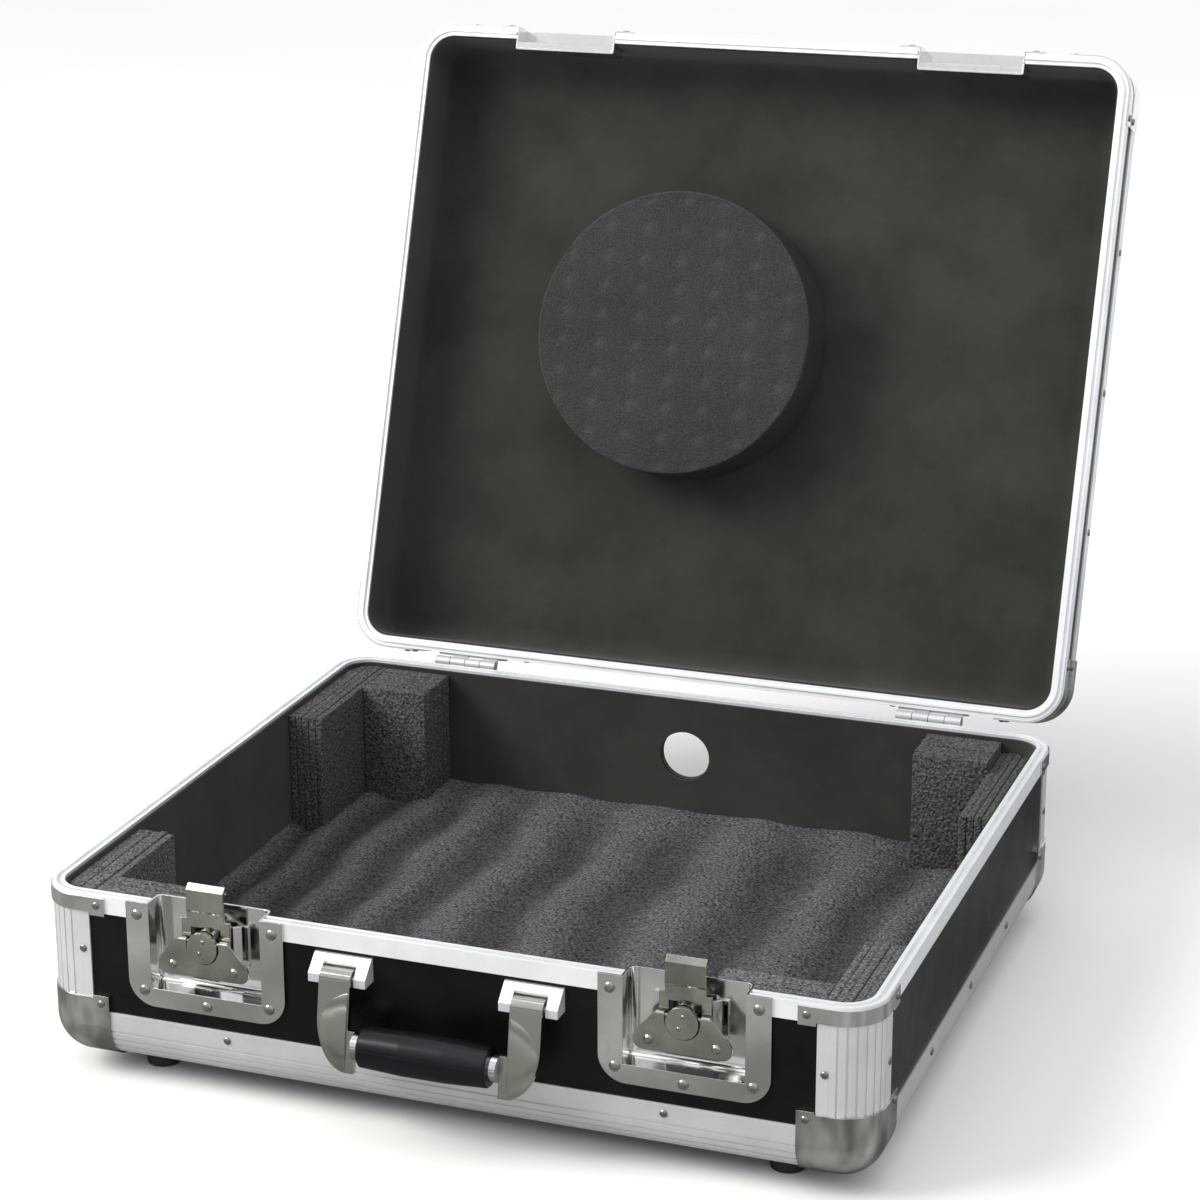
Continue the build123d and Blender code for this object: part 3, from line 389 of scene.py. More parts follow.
FINISHES = {
    drawn_x: ["base_front_edge", "base_back_edge"],
    drawn_y: ["base_left_edge", "base_right_edge"],
    drawn_z: ["base_corner_posts"],
    drawn_rim: ["base_rim_lengths", "base_rim_corners", "lid_rim_lengths", "lid_rim_corners"],
    lid_edge: ["lid_edges"],
    lid_post: ["lid_corner_posts"],
    plating: [
        "latch_dish_left",
        "latch_dish_right",
        "keeper_left",
        "keeper_right",
        "base_rim_braces",
        "lid_rim_braces",
    ],
    moving: [
        "latch_wing_left",
        "latch_wing_right",
        "latch_hook_left",
        "latch_hook_right",
        "latch_spindle_left",
        "latch_spindle_right",
    ],
    bright: ["latch_bridge_left", "latch_bridge_right", "handle_ferrules"],
    bracket: ["handle_brackets"],
    pressed: ["handle_arms"],
    ball: ["base_ball_corners", "lid_ball_corners"],
    hinge_steel: ["hinge_base_leaves", "hinge_lid_leaves"],
    steel: ["hinge_pins", "handle_pins", "handle_core", "foot_screws"],
    panels: [name for name in nodes if name.endswith("_panel")],
    feet_rubber: ["feet"],
    grip_plastic: ["handle_grip"],
}
for material, names in FINISHES.items():
    for name in names:
        nodes[name].data.materials.clear()
        nodes[name].data.materials.append(material)


# Pieces


def make_piece(name, mesh_data, material, matrix, body):
    """Turns a bmesh in millimetres into a piece in the model's frame that rides on a body."""
    mesh = bpy.data.meshes.new(name)
    bmesh.ops.recalc_face_normals(mesh_data, faces=mesh_data.faces)
    mesh_data.to_mesh(mesh)
    mesh_data.free()
    mesh.transform(matrix)
    if matrix.determinant() < 0:
        mesh.flip_normals()
    mesh.materials.append(material)
    piece = bpy.data.objects.new(name, mesh)
    bpy.context.scene.collection.objects.link(piece)
    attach(piece, body)
    return piece


def shade(piece, angle=35.0):
    """Smooth shading that keeps edges sharper than the angle."""
    for polygon in piece.data.polygons:
        polygon.use_smooth = True
    mesh_data = bmesh.new()
    mesh_data.from_mesh(piece.data)
    limit = math.radians(angle)
    for edge in mesh_data.edges:
        edge.smooth = len(edge.link_faces) != 2 or edge.calc_face_angle(0.0) < limit
    mesh_data.to_mesh(piece.data)
    mesh_data.free()


def apply_modifiers(piece):
    """Gives a piece the mesh that its modifiers make of it."""
    graph = bpy.context.evaluated_depsgraph_get()
    graph.update()
    made = bpy.data.meshes.new_from_object(piece.evaluated_get(graph))
    piece.modifiers.clear()
    piece.data = made


def soften(piece, width):
    """Rounds a piece's sharp edges by a width in millimetres and applies the result."""
    modifier = piece.modifiers.new("soften", "BEVEL")
    modifier.width = width * MM
    modifier.segments = 2
    modifier.limit_method = "ANGLE"
    apply_modifiers(piece)


def cut_away(piece, cutter_data, matrix):
    """Takes a closed bmesh, in millimetres, out of a piece."""
    mesh = bpy.data.meshes.new("cutter")
    cutter_data.to_mesh(mesh)
    cutter_data.free()
    mesh.transform(matrix)
    cutter = bpy.data.objects.new("cutter", mesh)
    bpy.context.scene.collection.objects.link(cutter)
    modifier = piece.modifiers.new("cut", "BOOLEAN")
    modifier.object = cutter
    modifier.operation = "DIFFERENCE"
    modifier.solver = "EXACT"
    apply_modifiers(piece)
    bpy.data.objects.remove(cutter)


def join_loops(mesh_data, first, second):
    """Quads between two closed loops of the same length."""
    for k in range(len(first)):
        after = (k + 1) % len(first)
        mesh_data.faces.new((first[k], first[after], second[after], second[k]))


def join_stack(mesh_data, loops):
    """Quads from each closed loop to the next."""
    for first, second in zip(loops, loops[1:]):
        join_loops(mesh_data, first, second)


def add_skirt(mesh_data, axis, level):
    """Carries the open border of a surface straight along an axis, to a level."""
    border = [edge for edge in mesh_data.edges if len(edge.link_faces) == 1]
    ends = {}
    for vert in [vert for edge in border for vert in edge.verts]:
        if vert not in ends:
            where = vert.co.copy()
            where[axis] = level
            ends[vert] = mesh_data.verts.new(where)
    for edge in border:
        first, second = edge.verts
        mesh_data.faces.new((first, second, ends[second], ends[first]))


def case_outline(inset):
    """Points round the case's outline at an inset, anticlockwise from the right."""
    radius = CORNER_RADIUS - inset
    points = []
    for quarter, (side_x, side_y) in enumerate(((1, 1), (-1, 1), (-1, -1), (1, -1))):
        for step in range(ARC_STEPS + 1):
            angle = math.radians(90.0 * (quarter + step / ARC_STEPS))
            x = side_x * (HALF_W - CORNER_RADIUS) + radius * math.cos(angle)
            y = side_y * (HALF_D - CORNER_RADIUS) + radius * math.sin(angle)
            points.append((x, y))
    return points


def outline_loop(mesh_data, inset, z):
    """The vertices of the case's outline at an inset and a height."""
    return [mesh_data.verts.new((x, y, z)) for x, y in case_outline(inset)]


def tub_surface(mesh_data, inset, radius, top):
    """A tub's wall and floor with a rounded bottom edge, from its top loop down; returns the top loop."""
    loops = [outline_loop(mesh_data, inset, top)]
    centre = inset + radius
    for step in range(ARC_STEPS + 1):
        angle = math.radians(90.0 * step / ARC_STEPS)
        across = centre - radius * math.cos(angle)
        loops.append(outline_loop(mesh_data, across, centre - radius * math.sin(angle)))
    join_stack(mesh_data, loops)
    mesh_data.faces.new(loops[-1])
    return loops[0]


def box_mesh(mesh_data, x0, x1, y0, y1, z0, z1):
    """A closed box between two values on each axis."""
    made = bmesh.ops.create_cube(mesh_data, size=1.0)
    matrix = Matrix.Translation(((x0 + x1) / 2, (y0 + y1) / 2, (z0 + z1) / 2))
    matrix = matrix @ Matrix.Diagonal((x1 - x0, y1 - y0, z1 - z0, 1.0))
    bmesh.ops.transform(mesh_data, matrix=matrix, verts=made["verts"])


def round_mesh(mesh_data, radius, length, where):
    """A closed cylinder that runs along Y."""
    upright = Matrix.Translation(where) @ Matrix.Rotation(math.pi / 2, 4, "X")
    made = bmesh.ops.create_cone(
        mesh_data,
        cap_ends=True,
        segments=ROUND_SEGMENTS,
        radius1=radius,
        radius2=radius,
        depth=length,
    )
    bmesh.ops.transform(mesh_data, matrix=upright, verts=made["verts"])


# Lining, where the cutters reach past the wall and the rim, and into the case
CUT_PAST = 5.0
CUT_DEEP = 30.0
HOLE_CUT = 20.0
HOLE_CUT_INSET = 5.0


def make_lining(name, height, window_drop, front, cable_hole, matrix, body):
    """The cloth inside one half of the case, drawn with its rim up, with latch windows in one side."""
    shell = bmesh.new()
    inner = tub_surface(shell, WALL + LINING, LINING_ROUND, height - LINING_DROP)
    outer = tub_surface(shell, WALL, EDGE_RADIUS - WALL, height - LINING_DROP)
    join_loops(shell, inner, outer)
    piece = make_piece(name, shell, cloth, matrix, body)
    windows = bmesh.new()
    half = OPENING_HALF + SHEET + FIT
    y0, y1 = sorted((front * (HALF_D + CUT_PAST), front * (HALF_D - CUT_DEEP)))
    low = height - window_drop - SHEET - FIT
    for x in (-LATCH_X, LATCH_X):
        box_mesh(windows, x - half, x + half, y0, y1, low, height + CUT_PAST)
    if cable_hole:
        round_mesh(windows, CABLE_RADIUS, HOLE_CUT, (0, HALF_D - HOLE_CUT_INSET, CABLE_Z - FOOT_HEIGHT))
    cut_away(piece, windows, matrix)
    shade(piece)
    return piece


BASE_HALF = TO_MODEL @ Matrix.Translation((0, 0, FOOT_HEIGHT))
LID_LIFT = Matrix.Translation((0, 0, LID_RIM_Z + LID_HEIGHT))
LID_HALF = LID_TO_MODEL @ LID_LIFT @ Matrix.Rotation(math.pi, 4, "X")

lining = make_lining("base_lining_cloth", BASE_HEIGHT, OPENING_DROP, -1, True, BASE_HALF, "base")
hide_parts("base_lining")
lining = make_lining("lid_lining_cloth", LID_HEIGHT, KEEPER_RECESS, 1, False, LID_HALF, "lid")
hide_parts("lid_lining")

# Floor foam, with soft waves that run from front to back, drift sideways and calm down near the walls
WAVE_CRESTS = (-251.0, -222.0, -182.0, -138.0, -87.0, -23.0, 58.0, 136.0, 198.0, 240.0, 258.0)
GRID_STEP = 4.0
SKIRT = 9.0
CALM_BAND = 70.0
CALM_SHARE = 0.3
DRIFT = 14.0
DRIFT_SIZE_X, DRIFT_SIZE_Y = 130.0, 90.0
DRIFT_SLICE = 3.0
LUMP_SIZE = 16.0


def wave_drop(x):
    """How far the foam's top lies below its crests at an X."""
    for left, right in zip(WAVE_CRESTS, WAVE_CRESTS[1:]):
        if left <= x <= right:
            share = (x - left) / (right - left)
            return WAVE_DEPTH * (0.5 - 0.5 * math.cos(2.0 * math.pi * share))
    return 0.0


def half_depth(x, inset):
    """Half the depth of the rounded outline at an X."""
    past = abs(x) - (HALF_W - CORNER_RADIUS)
    radius = CORNER_RADIUS - inset
    if past <= 0.0:
        return HALF_D - inset
    return HALF_D - CORNER_RADIUS + math.sqrt(max(radius**2 - past**2, 0.0))


def foam_top(x, y):
    """The height of the foam's top."""
    drift = DRIFT * noise.noise(Vector((x / DRIFT_SIZE_X, y / DRIFT_SIZE_Y, DRIFT_SLICE)))
    lump = LUMP * noise.noise(Vector((x / LUMP_SIZE, y / LUMP_SIZE, 0.0)))
    inside = min(1.0, (HALF_D - FOAM_INSET - abs(y)) / CALM_BAND)
    calm = CALM_SHARE + (1.0 - CALM_SHARE) * max(inside, 0.0)
    return FOAM_CREST - calm * wave_drop(x + drift) + lump - LUMP


def make_floor_foam():
    """The waved top with its edge turned down; the rest of the sheet is never seen."""
    sheet = bmesh.new()
    half = HALF_W - FOAM_INSET
    columns = int(2 * half / GRID_STEP)
    rows = int(2 * HALF_D / GRID_STEP)
    grid = []
    for i in range(columns + 1):
        x = half * (2.0 * i / columns - 1.0)
        line = []
        for j in range(rows + 1):
            y = half_depth(x, FOAM_INSET) * (2.0 * j / rows - 1.0)
            line.append(sheet.verts.new((x, y, foam_top(x, y))))
        grid.append(line)
    for i in range(columns):
        for j in range(rows):
            sheet.faces.new((grid[i][j], grid[i + 1][j], grid[i + 1][j + 1], grid[i][j + 1]))
    add_skirt(sheet, 2, FOAM_CREST - SKIRT)
    piece = make_piece("floor_foam_sheet", sheet, sheet_foam, TO_MODEL, "base")
    shade(piece, angle=50.0)
    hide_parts("floor_foam")


make_floor_foam()

# Foam blocks, laid up from thin sheets that stand parallel to the wall behind them
LAYER = 5.0
SEAM = 0.1
RAGGED = 1.0
SOFT_EDGE = 0.7
BLOCK_DROP = 4.0
SIDE_THICK = 25.0
DISH_ROOM = 2.0


def layer_prism(mesh_data, low, high, end_near, end_far, z0, z1, along_x):
    """One sheet between two insets, from one end to the other, kept inside the case's rounded corner."""
    centre_x = HALF_W - CORNER_RADIUS
    centre_y = HALF_D - CORNER_RADIUS
    radius = CORNER_RADIUS - FOAM_INSET
    centre_across, centre_along = (centre_y, centre_x) if along_x else (centre_x, centre_y)
    reaches = []
    for across in (low, high):
        past = max(across - centre_across, 0.0)
        reaches.append(min(end_far, centre_along + math.sqrt(max(radius**2 - past**2, 0.0))))
    outline = [(low, end_near), (low, reaches[0]), (high, reaches[1]), (high, end_near)]
    rings = []
    for z in (z0, z1):
        ring = []
        for across, along in outline:
            x, y = (along, across) if along_x else (across, along)
            ring.append(mesh_data.verts.new((x, y, z)))
        rings.append(ring)
    mesh_data.faces.new(rings[0])
    mesh_data.faces.new(rings[1])
    join_loops(mesh_data, rings[0], rings[1])


def make_block(name, side_x, side_y, arm, arm_thick, side_length, side_drop, seed):
    """An L of sheets, drawn for the right back corner and mirrored into its own corner."""
    rng = random.Random(seed)
    block = bmesh.new()
    far_x = HALF_W - FOAM_INSET
    far_y = HALF_D - FOAM_INSET
    low = FOAM_CREST - WAVE_DEPTH
    top = RIM_Z - BLOCK_DROP
    side_top = top - side_drop
    for k in range(round(SIDE_THICK / LAYER)):
        start = far_x - SIDE_THICK + k * LAYER
        near = far_y - side_length + rng.uniform(0.0, RAGGED)
        high = side_top - rng.uniform(0.0, RAGGED)
        layer_prism(block, start + SEAM, start + LAYER - SEAM, near, far_y, low, high, False)
    count = round(arm_thick / LAYER)
    step = arm_thick / count
    arm_end = far_x - SIDE_THICK - SEAM
    for k in range(count):
        start = far_y - arm_thick + k * step
        near = far_x - arm
        if side_y < 0 and start + step > HALF_D - DISH_DEPTH - DISH_ROOM:
            near = LATCH_X + OPENING_HALF + DISH_ROOM
        near += rng.uniform(0.0, RAGGED)
        high = top - rng.uniform(0.0, RAGGED)
        layer_prism(block, start + SEAM, start + step - SEAM, near, arm_end, low, high, True)
    matrix = TO_MODEL @ Matrix.Diagonal((side_x, side_y, 1.0, 1.0))
    # Painted light: the front blocks take the paler copy of the foam
    material = front_foam_painted_lighter if side_y < 0 else block_foam
    piece = make_piece(name, block, material, matrix, "base")
    soften(piece, SOFT_EDGE)
    shade(piece, angle=60.0)
    return piece


# The corner's signs, length and thickness of the arm along the front or back, length and drop of the side arm
BLOCKS = {
    "back_left": (-1, 1, 73.0, 45.0, 115.0, 0.0),
    "back_right": (1, 1, 77.0, 42.0, 121.0, 7.0),
    "front_left": (-1, -1, 91.0, 30.0, 103.0, 0.0),
    "front_right": (1, -1, 91.0, 30.0, 93.0, 0.0),
}
for seed, (corner, sizes) in enumerate(BLOCKS.items()):
    piece = make_block(f"foam_block_{corner}", *sizes, seed)
    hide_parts(f"foam_corner_{corner}")

# Round foam pad in the lid, drawn with its face down, with dimples in the face and a cut, uneven side
PAD_X, PAD_Y, PAD_RADIUS = -45.0, -17.0, 101.0
PAD_SUNK = 1.0
PAD_LOW = LID_RIM_Z + PAD_SUNK
PAD_HIGH = LID_RIM_Z + LID_HEIGHT - WALL - LINING
PAD_RINGS = 60
PAD_SPOKES = 180
PAD_STEPS = 10
PLAIN_BAND = 3.0
DIMPLE_PITCH_X = 27.5
DIMPLE_PITCH_Y = 21.0
DIMPLE_DEPTH = 1.6
DIMPLE_SPREAD = 4.0
EDGE_RISE = 1.2
EDGE_START = (0.6, 0.2)
UNEVEN_DEPTH = 0.5
UNEVEN_TURNS = 3.0
UNEVEN_TALL = 7.0

# How pale the painted light in a dimple, the pad's edge and its side are, from 0 to 1
PAINTED_DIMPLE_LIGHT = 0.7
EDGE_MARK = 1.0
SIDE_MARK = 0.35


def dimple(x, y):
    """The relief of a field of shallow dimples."""
    across = x - DIMPLE_PITCH_X * round(x / DIMPLE_PITCH_X)
    upward = y - DIMPLE_PITCH_Y * (math.floor(y / DIMPLE_PITCH_Y) + 0.5)
    distance = math.hypot(across, upward)
    return DIMPLE_DEPTH * math.exp(-((distance / DIMPLE_SPREAD) ** 2))


def pad_profile():
    """Radius and rise from the middle of the face to its edge, then up the side."""
    inset, start = EDGE_START
    tall = PAD_HIGH - PAD_LOW - EDGE_RISE
    face = [(PAD_RADIUS * k / PAD_RINGS, 0.0) for k in range(1, PAD_RINGS)]
    edge = [(PAD_RADIUS - inset, start), (PAD_RADIUS, EDGE_RISE)]
    side = [(PAD_RADIUS, EDGE_RISE + tall * k / PAD_STEPS) for k in range(1, PAD_STEPS + 1)]
    return face + edge + side


def side_offset(angle, rise):
    """How far the unevenly cut side lies from the pad's radius, always inwards."""
    across = UNEVEN_TURNS * math.cos(angle)
    upward = UNEVEN_TURNS * math.sin(angle)
    return UNEVEN_DEPTH * noise.noise(Vector((across, upward, rise / UNEVEN_TALL))) - UNEVEN_DEPTH


def make_pad():
    pad = bmesh.new()
    dimple_light_and_pale_edge = pad.verts.layers.float_color.new(DIMPLE_LIGHT_AND_PALE_EDGE)
    loops = []
    for radius, rise in pad_profile():
        on_face = rise == 0.0
        loop = []
        for k in range(PAD_SPOKES):
            angle = 2.0 * math.pi * k / PAD_SPOKES
            reach = radius if on_face else radius + side_offset(angle, rise)
            x, y = reach * math.cos(angle), reach * math.sin(angle)
            depth = dimple(x, y) if on_face and radius < PAD_RADIUS - PLAIN_BAND else 0.0
            # Painted light: the deeper the dimple, the paler it is painted
            mark = PAINTED_DIMPLE_LIGHT * depth / DIMPLE_DEPTH
            if not on_face:
                mark = EDGE_MARK if rise < EDGE_RISE else SIDE_MARK
            vert = pad.verts.new((PAD_X + x, PAD_Y + y, PAD_LOW + rise + depth))
            vert[dimple_light_and_pale_edge] = (mark, mark, mark, 1.0)
            loop.append(vert)
        loops.append(loop)
    join_stack(pad, loops)
    pad.faces.new(loops[0])
    pad.faces.new(loops[-1])
    piece = make_piece("lid_pad", pad, pad_foam, LID_TO_MODEL, "lid")
    shade(piece, angle=50.0)
    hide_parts("lid_foam_pad")


make_pad()

# Rivets, as low domes whose profile is given in shares of their radius
RIVET_PROFILE = ((1.0, 0.0), (1.0, 0.18), (0.86, 0.34), (0.62, 0.46), (0.32, 0.52))
RIVET_SEGMENTS = 16
RIVET_RADIUS = 3.3
SMALL_RIVET = 2.4


def add_rivet(mesh_data, where, direction, radius):
    """A domed head at a point on a face, along the face's outward direction."""
    turn = Vector((0, 0, 1)).rotation_difference(Vector(direction)).to_matrix().to_4x4()
    matrix = Matrix.Translation(where) @ turn
    loops = []
    for reach, rise in RIVET_PROFILE:
        loop = []
        for k in range(RIVET_SEGMENTS):
            angle = 2.0 * math.pi * k / RIVET_SEGMENTS
            point = Vector((reach * math.cos(angle), reach * math.sin(angle), rise))
            loop.append(mesh_data.verts.new(matrix @ (radius * point)))
        loops.append(loop)
    join_stack(mesh_data, loops)
    mesh_data.faces.new(loops[-1])
    mesh_data.faces.new(loops[0])


def finish_rivets(name, mesh_data, material, matrix, body):
    """Turns a bmesh of rivets into one piece."""
    piece = make_piece(name, mesh_data, material, matrix, body)
    shade(piece, angle=40.0)


# Rivets of the frame: in the ears of the ball corners and braces, in the posts and in the bottom edges
CAP_REACH = 45.0
CAP_SKIN = 1.2
EAR_HALF = 5.25
EDGE_LEG = 34.0
BRACE_EAR = 13.0
POST_LEG = 34.0
SIDE_RIVETS = (-99.0, -2.0, 94.0)
FRONT_RIVET_X = 137.0
EDGE_RIVET_Z = 28.0
POST_RIVETS = ((-1, 74.0), (1, 68.0))


def make_frame_rivets(name, height, in_posts, flip, matrix, body):
    """The rivets of one half of the case, drawn with its rim up, with or without those in its posts."""
    heads = bmesh.new()
    ear_x = HALF_W - CAP_REACH + EAR_HALF
    ear_y = HALF_D - CAP_REACH + EAR_HALF
    inset = POST_LEG - 2 * SMALL_RIVET
    for sx, post_z in POST_RIVETS:
        sideways = (sx, 0, 0)
        for sy in (-1, 1):
            onward = (0, sy, 0)
            for z in (EDGE_LEG + EAR_HALF, height - BRACE_EAR / 2):
                add_rivet(heads, (sx * ear_x, sy * (HALF_D + CAP_SKIN), z), onward, SMALL_RIVET)
                add_rivet(heads, (sx * (HALF_W + CAP_SKIN), sy * ear_y, z), sideways, SMALL_RIVET)
            if in_posts:
                add_rivet(heads, (sx * (HALF_W - inset), sy * HALF_D, post_z), onward, SMALL_RIVET)
                add_rivet(heads, (sx * HALF_W, sy * (HALF_D - inset), post_z), sideways, SMALL_RIVET)
        for y in SIDE_RIVETS:
            add_rivet(heads, (sx * HALF_W, flip * y, EDGE_RIVET_Z), sideways, SMALL_RIVET)
        for sy in (-1, 1):
            add_rivet(heads, (sx * FRONT_RIVET_X, sy * HALF_D, EDGE_RIVET_Z), (0, sy, 0), SMALL_RIVET)
    finish_rivets(name, heads, rivet_steel_painted_dark, matrix, body)


make_frame_rivets("rivets_base_frame", BASE_HEIGHT, True, 1, BASE_HALF, "base")
make_frame_rivets("rivets_lid_frame", LID_HEIGHT, False, -1, LID_HALF, "lid")

# Rivets of the latches and keepers, from the middle of a latch and from the rim
LATCH_RIVETS = ((-44.0, -8.0), (44.0, -8.0), (-41.0, -56.5), (41.0, -56.5), (0.0, -61.5))
KEEPER_RIVETS = ((-43.75, 6.0), (43.75, 6.0), (-43.75, 19.5), (43.75, 19.5))


def make_front_rivets(name, places, rim, matrix, body):
    """The rivets of both latches, or of both keepers."""
    heads = bmesh.new()
    for latch in (-LATCH_X, LATCH_X):
        for x, z in places:
            add_rivet(heads, (latch + x, -HALF_D - SHEET, rim + z), (0, -1, 0), RIVET_RADIUS)
    finish_rivets(name, heads, latch_rivet, matrix, body)


make_front_rivets("rivets_latches", LATCH_RIVETS, RIM_Z, TO_MODEL, "base")
make_front_rivets("rivets_keepers", KEEPER_RIVETS, LID_RIM_Z, LID_TO_MODEL, "lid")

# Two small pin ends on the disc of each latch
DISC_DROP = 22.0
DISC_PROUD = 5.0
DISC_PINS = ((0.9, 4.2), (-1.7, -3.4))
PIN_RADIUS = 1.3
for latch, side in ((-LATCH_X, "left"), (LATCH_X, "right")):
    heads = bmesh.new()
    for x, z in DISC_PINS:
        add_rivet(heads, (latch + x, -HALF_D - DISC_PROUD, RIM_Z - DISC_DROP + z), (0, -1, 0), PIN_RADIUS)
    finish_rivets(f"disc_pins_{side}", heads, latch_rivet, TO_MODEL, f"spindle_{side}")

# The domes pressed into the handle's arms round the ends of the grip, drawn with the handle hanging straight
PIVOT_OUT, PIVOT_DROP = 8.0, 25.0
PIVOT = Vector((0, -HALF_D - PIVOT_OUT, RIM_Z - PIVOT_DROP))
LEAN_ANGLE = math.radians(-10.0)
LEAN = Matrix.Rotation(LEAN_ANGLE, 4, "X")
HANDLE_TO_MODEL = TO_MODEL @ Matrix.Translation(PIVOT) @ LEAN @ Matrix.Translation(-PIVOT)
ARM_OUT = 14.0
ARM_FACE = -HALF_D - ARM_OUT
DOME_X = 45.5
DOME_DROP = 55.0
DOME_RADIUS = 22.3
DOME_TALL = 1.07
DOME_EDGE_X = 50.3
DOME_RISE = 1.3
DOME_SINK = 0.5
DOME_POWER = 5
DOME_RINGS = 10
DOME_SPOKES = 28

# Below 1, so that the rings lie closer together towards the rim, where the dome is steepest
RING_POWER = 0.7


def make_arm_domes():
    """Low crowns on the outer part of a circle, cut off where the arm goes under the grip."""
    domes = bmesh.new()
    span = math.acos((DOME_EDGE_X - DOME_X) / DOME_RADIUS)
    for side in (-1, 1):
        grid = []
        for spoke in range(DOME_SPOKES + 1):
            angle = span * (2.0 * spoke / DOME_SPOKES - 1.0)
            start = (DOME_EDGE_X - DOME_X) / math.cos(angle)
            line = []
            for ring in range(DOME_RINGS + 1):
                reach = start + (DOME_RADIUS - start) * (ring / DOME_RINGS) ** RING_POWER
                rise = DOME_RISE * (1.0 - (reach / DOME_RADIUS) ** DOME_POWER)
                x = DOME_X + reach * math.cos(angle)
                z = RIM_Z - DOME_DROP + DOME_TALL * reach * math.sin(angle)
                line.append(domes.verts.new((side * x, ARM_FACE - rise, z)))
            grid.append(line)
        for first, second in zip(grid, grid[1:]):
            for k in range(DOME_RINGS):
                domes.faces.new((first[k], first[k + 1], second[k + 1], second[k]))
    add_skirt(domes, 1, ARM_FACE + DOME_SINK)
    piece = make_piece("arm_domes", domes, pressed, HANDLE_TO_MODEL, "handle")
    shade(piece, angle=50.0)


make_arm_domes()


# Studio, in metres

FLOOR_REACH = 40.0
CARD_X, CARD_Y = (-1.7, 1.9), (-1.9, 0.9)
CARD_LIFT = 0.002
SUN_DIRECTION = Vector((0.72, 0.36, -0.6))
SUN_SPREAD = 0.6
SUN_COLOR = (1.0, 0.98, 0.95)
WARM = (1.0, 0.965, 0.9)

# How bright the room is at some heights over the horizon, how cool, and what the camera sees instead
HORIZON = ((0.08, 0.32), (0.16, 0.4), (0.28, 0.95))
COOL = 0.03
BELOW = (0.55, 0.55, 0.56)
ROOM_STRENGTH = 0.85
BACKDROP = 0.98


def add_sheet(name, x_range, y_range, z, material):
    """A level rectangle."""
    mesh = bpy.data.meshes.new(name)
    (x0, x1), (y0, y1) = x_range, y_range
    mesh.from_pydata([(x0, y0, z), (x1, y0, z), (x1, y1, z), (x0, y1, z)], [], [(0, 1, 2, 3)])
    mesh.materials.append(material)
    sheet = bpy.data.objects.new(name, mesh)
    bpy.context.scene.collection.objects.link(sheet)
    return sheet


def add_floor():
    material, tree, shader = new_material("floor_paint", grey(0.93), roughness=0.85)
    grain = clouds(tree, place(tree), scale=2.0, detail=4.0)
    tree.links.new(ramp(tree, grain, grey(0.92), grey(0.94)), shader.inputs["Base Color"])
    reach = (-FLOOR_REACH, FLOOR_REACH)
    floor = add_sheet("studio_floor", reach, reach, 0, material)


def add_grey_card():
    """A mottled card on the floor round the case, seen in reflections only, which greys the plating."""
    material, tree, shader = new_material("card_paint", grey(0.2), roughness=0.9)
    patches = clouds(tree, place(tree), scale=4.0, detail=4.0, roughness=0.6)
    tint = ramp(tree, patches, (0.06, 0.06, 0.055), (0.34, 0.34, 0.33))
    tree.links.new(tint, shader.inputs["Base Color"])
    card = add_sheet("grey_card", CARD_X, CARD_Y, CARD_LIFT, material)
    card.visible_camera = False
    card.visible_diffuse = False
    card.visible_shadow = False


def add_world():
    """A pale room, bright above, with a grey band at the horizon for the plating and a plain backdrop."""
    world = bpy.data.worlds.new("studio")
    world.use_nodes = True
    tree = world.node_tree
    background = tree.nodes["Background"]
    source = tree.nodes.new("ShaderNodeTexCoord")
    split = tree.nodes.new("ShaderNodeSeparateXYZ")
    node = tree.nodes.new("ShaderNodeValToRGB")
    stops = node.color_ramp.elements
    stops[0].position = 0.0
    stops[0].color = (*BELOW, 1.0)
    stops[1].position = 1.0
    stops[1].color = (*WHITE, 1.0)
    for position, level in HORIZON:
        stop = stops.new(position)
        stop.color = (level * (1.0 - COOL), level, level * (1.0 + COOL), 1.0)
    tree.links.new(source.outputs["Generated"], split.inputs["Vector"])
    tree.links.new(split.outputs["Z"], node.inputs["Fac"])
    tree.links.new(node.outputs["Color"], background.inputs["Color"])
    background.inputs["Strength"].default_value = ROOM_STRENGTH
    backdrop = tree.nodes.new("ShaderNodeBackground")
    backdrop.inputs["Color"].default_value = (*grey(BACKDROP), 1.0)
    path = tree.nodes.new("ShaderNodeLightPath")
    choice = tree.nodes.new("ShaderNodeMixShader")
    tree.links.new(path.outputs["Is Camera Ray"], choice.inputs[0])
    tree.links.new(background.outputs[0], choice.inputs[1])
    tree.links.new(backdrop.outputs[0], choice.inputs[2])
    tree.links.new(choice.outputs[0], tree.nodes["World Output"].inputs["Surface"])
    bpy.context.scene.world = world


def add_lamp(name, light, where, direction):
    """Hangs a light at a point, shining in a direction."""
    lamp = bpy.data.objects.new(name, light)
    lamp.location = where
    lamp.rotation_euler = direction.to_track_quat("-Z", "Y").to_euler()
    bpy.context.scene.collection.objects.link(lamp)


def add_sun():
    """A broad, far light from the left, which models the foam and the lining."""
    light = bpy.data.lights.new("side_light", "SUN")
    light.energy = 1.0
    light.angle = SUN_SPREAD
    light.color = SUN_COLOR
    add_lamp("side_light", light, (0.0, 0.0, 0.0), SUN_DIRECTION)


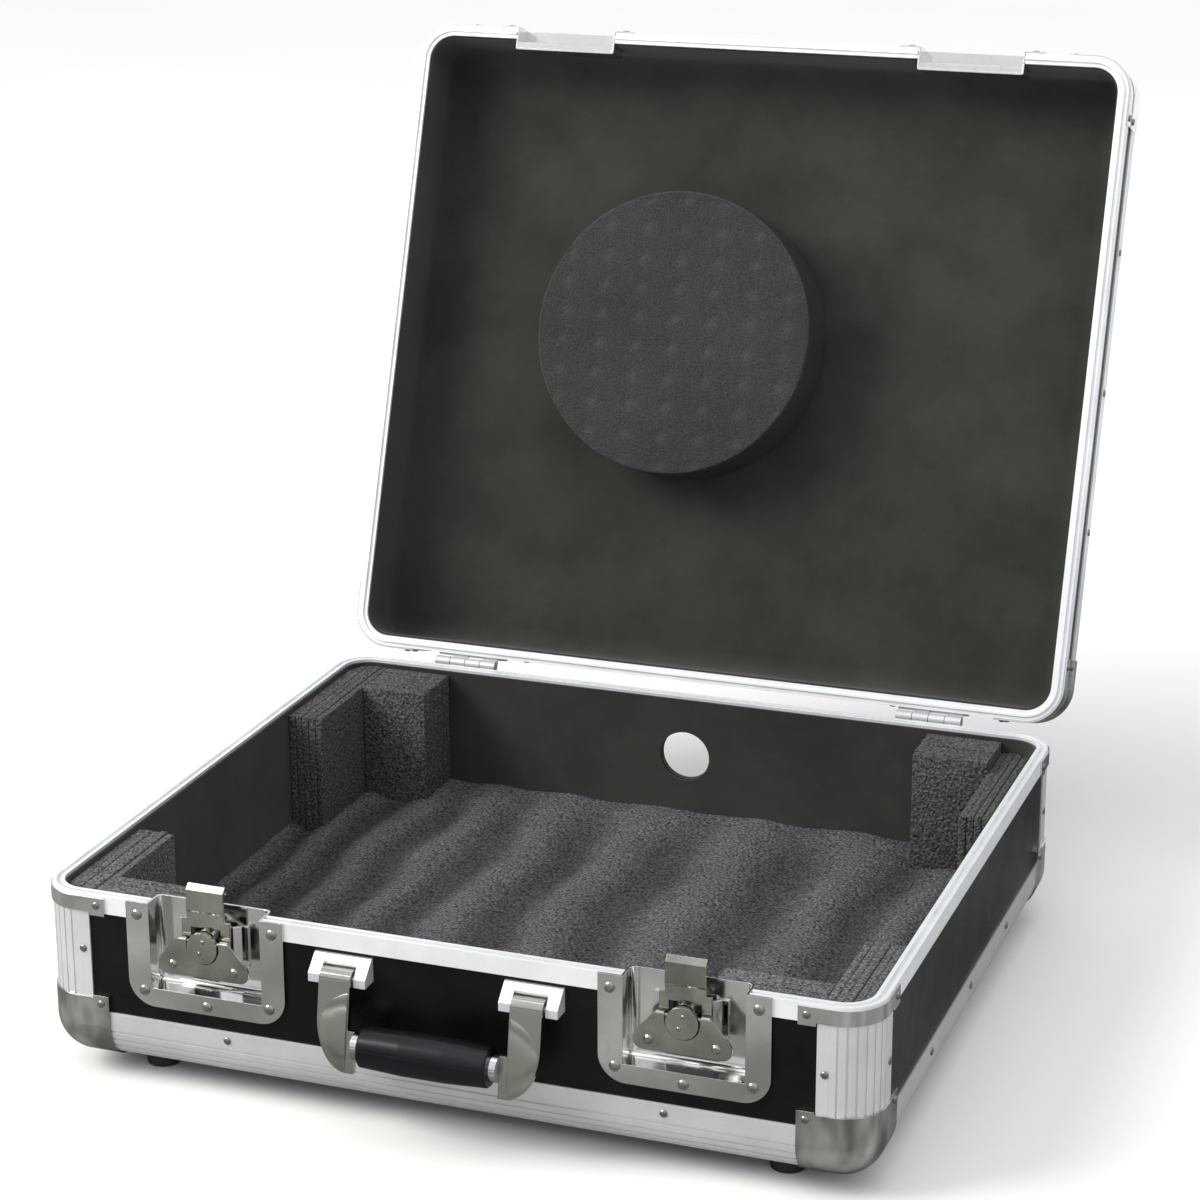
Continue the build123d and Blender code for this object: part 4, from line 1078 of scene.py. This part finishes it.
def add_softbox(name, where, target, size, power, color=WHITE):
    """A square light that faces a target."""
    light = bpy.data.lights.new(name, "AREA")
    light.size = size
    light.energy = power
    light.color = color
    add_lamp(name, light, where, Vector(target) - Vector(where))


add_floor()
add_grey_card()
add_world()
add_sun()
add_softbox("key_light", (-2.2, -1.6, 2.2), target=(0.0, 0.0, 0.15), size=1.6, power=60.0, color=WARM)
add_softbox("top_light", (0.3, -0.4, 3.0), target=(0.0, 0.0, 0.0), size=2.4, power=18.0)


# Camera at the photo's angle, in metres from the middle of the base

CAMERA_FROM_BASE = Vector((0.654754, -1.749412, 0.872702))
CAMERA_YAW = math.radians(-20.0413)
CAMERA_PITCH = math.radians(-18.1362)
CAMERA_ROLL = math.radians(-0.1369)
FOCAL_PIXELS = 3155.9
FRAME_PIXELS = 1200.0
SENSOR = 36.0
VIEW_END = 100.0


def add_camera():
    forward = Vector(
        (
            math.sin(CAMERA_YAW) * math.cos(CAMERA_PITCH),
            math.cos(CAMERA_YAW) * math.cos(CAMERA_PITCH),
            math.sin(CAMERA_PITCH),
        )
    )
    level = Vector((math.cos(CAMERA_YAW), -math.sin(CAMERA_YAW), 0.0))
    upright = level.cross(forward)
    right = math.cos(CAMERA_ROLL) * level + math.sin(CAMERA_ROLL) * upright
    up = -math.sin(CAMERA_ROLL) * level + math.cos(CAMERA_ROLL) * upright
    turn = Matrix((right, up, -forward)).transposed().to_4x4()
    data = bpy.data.cameras.new("photo_camera")
    data.sensor_width = SENSOR
    data.sensor_fit = "HORIZONTAL"
    data.lens = FOCAL_PIXELS / FRAME_PIXELS * SENSOR
    data.clip_end = VIEW_END
    camera = bpy.data.objects.new("photo_camera", data)
    camera.matrix_world = Matrix.Translation(CAMERA_FROM_BASE + Vector((0, BASE_Y * MM, 0))) @ turn
    bpy.context.scene.collection.objects.link(camera)
    bpy.context.scene.camera = camera


add_camera()

scene = bpy.context.scene
scene.view_settings.view_transform = "Standard"
scene.view_settings.look = "None"
scene.view_settings.exposure = 0.0
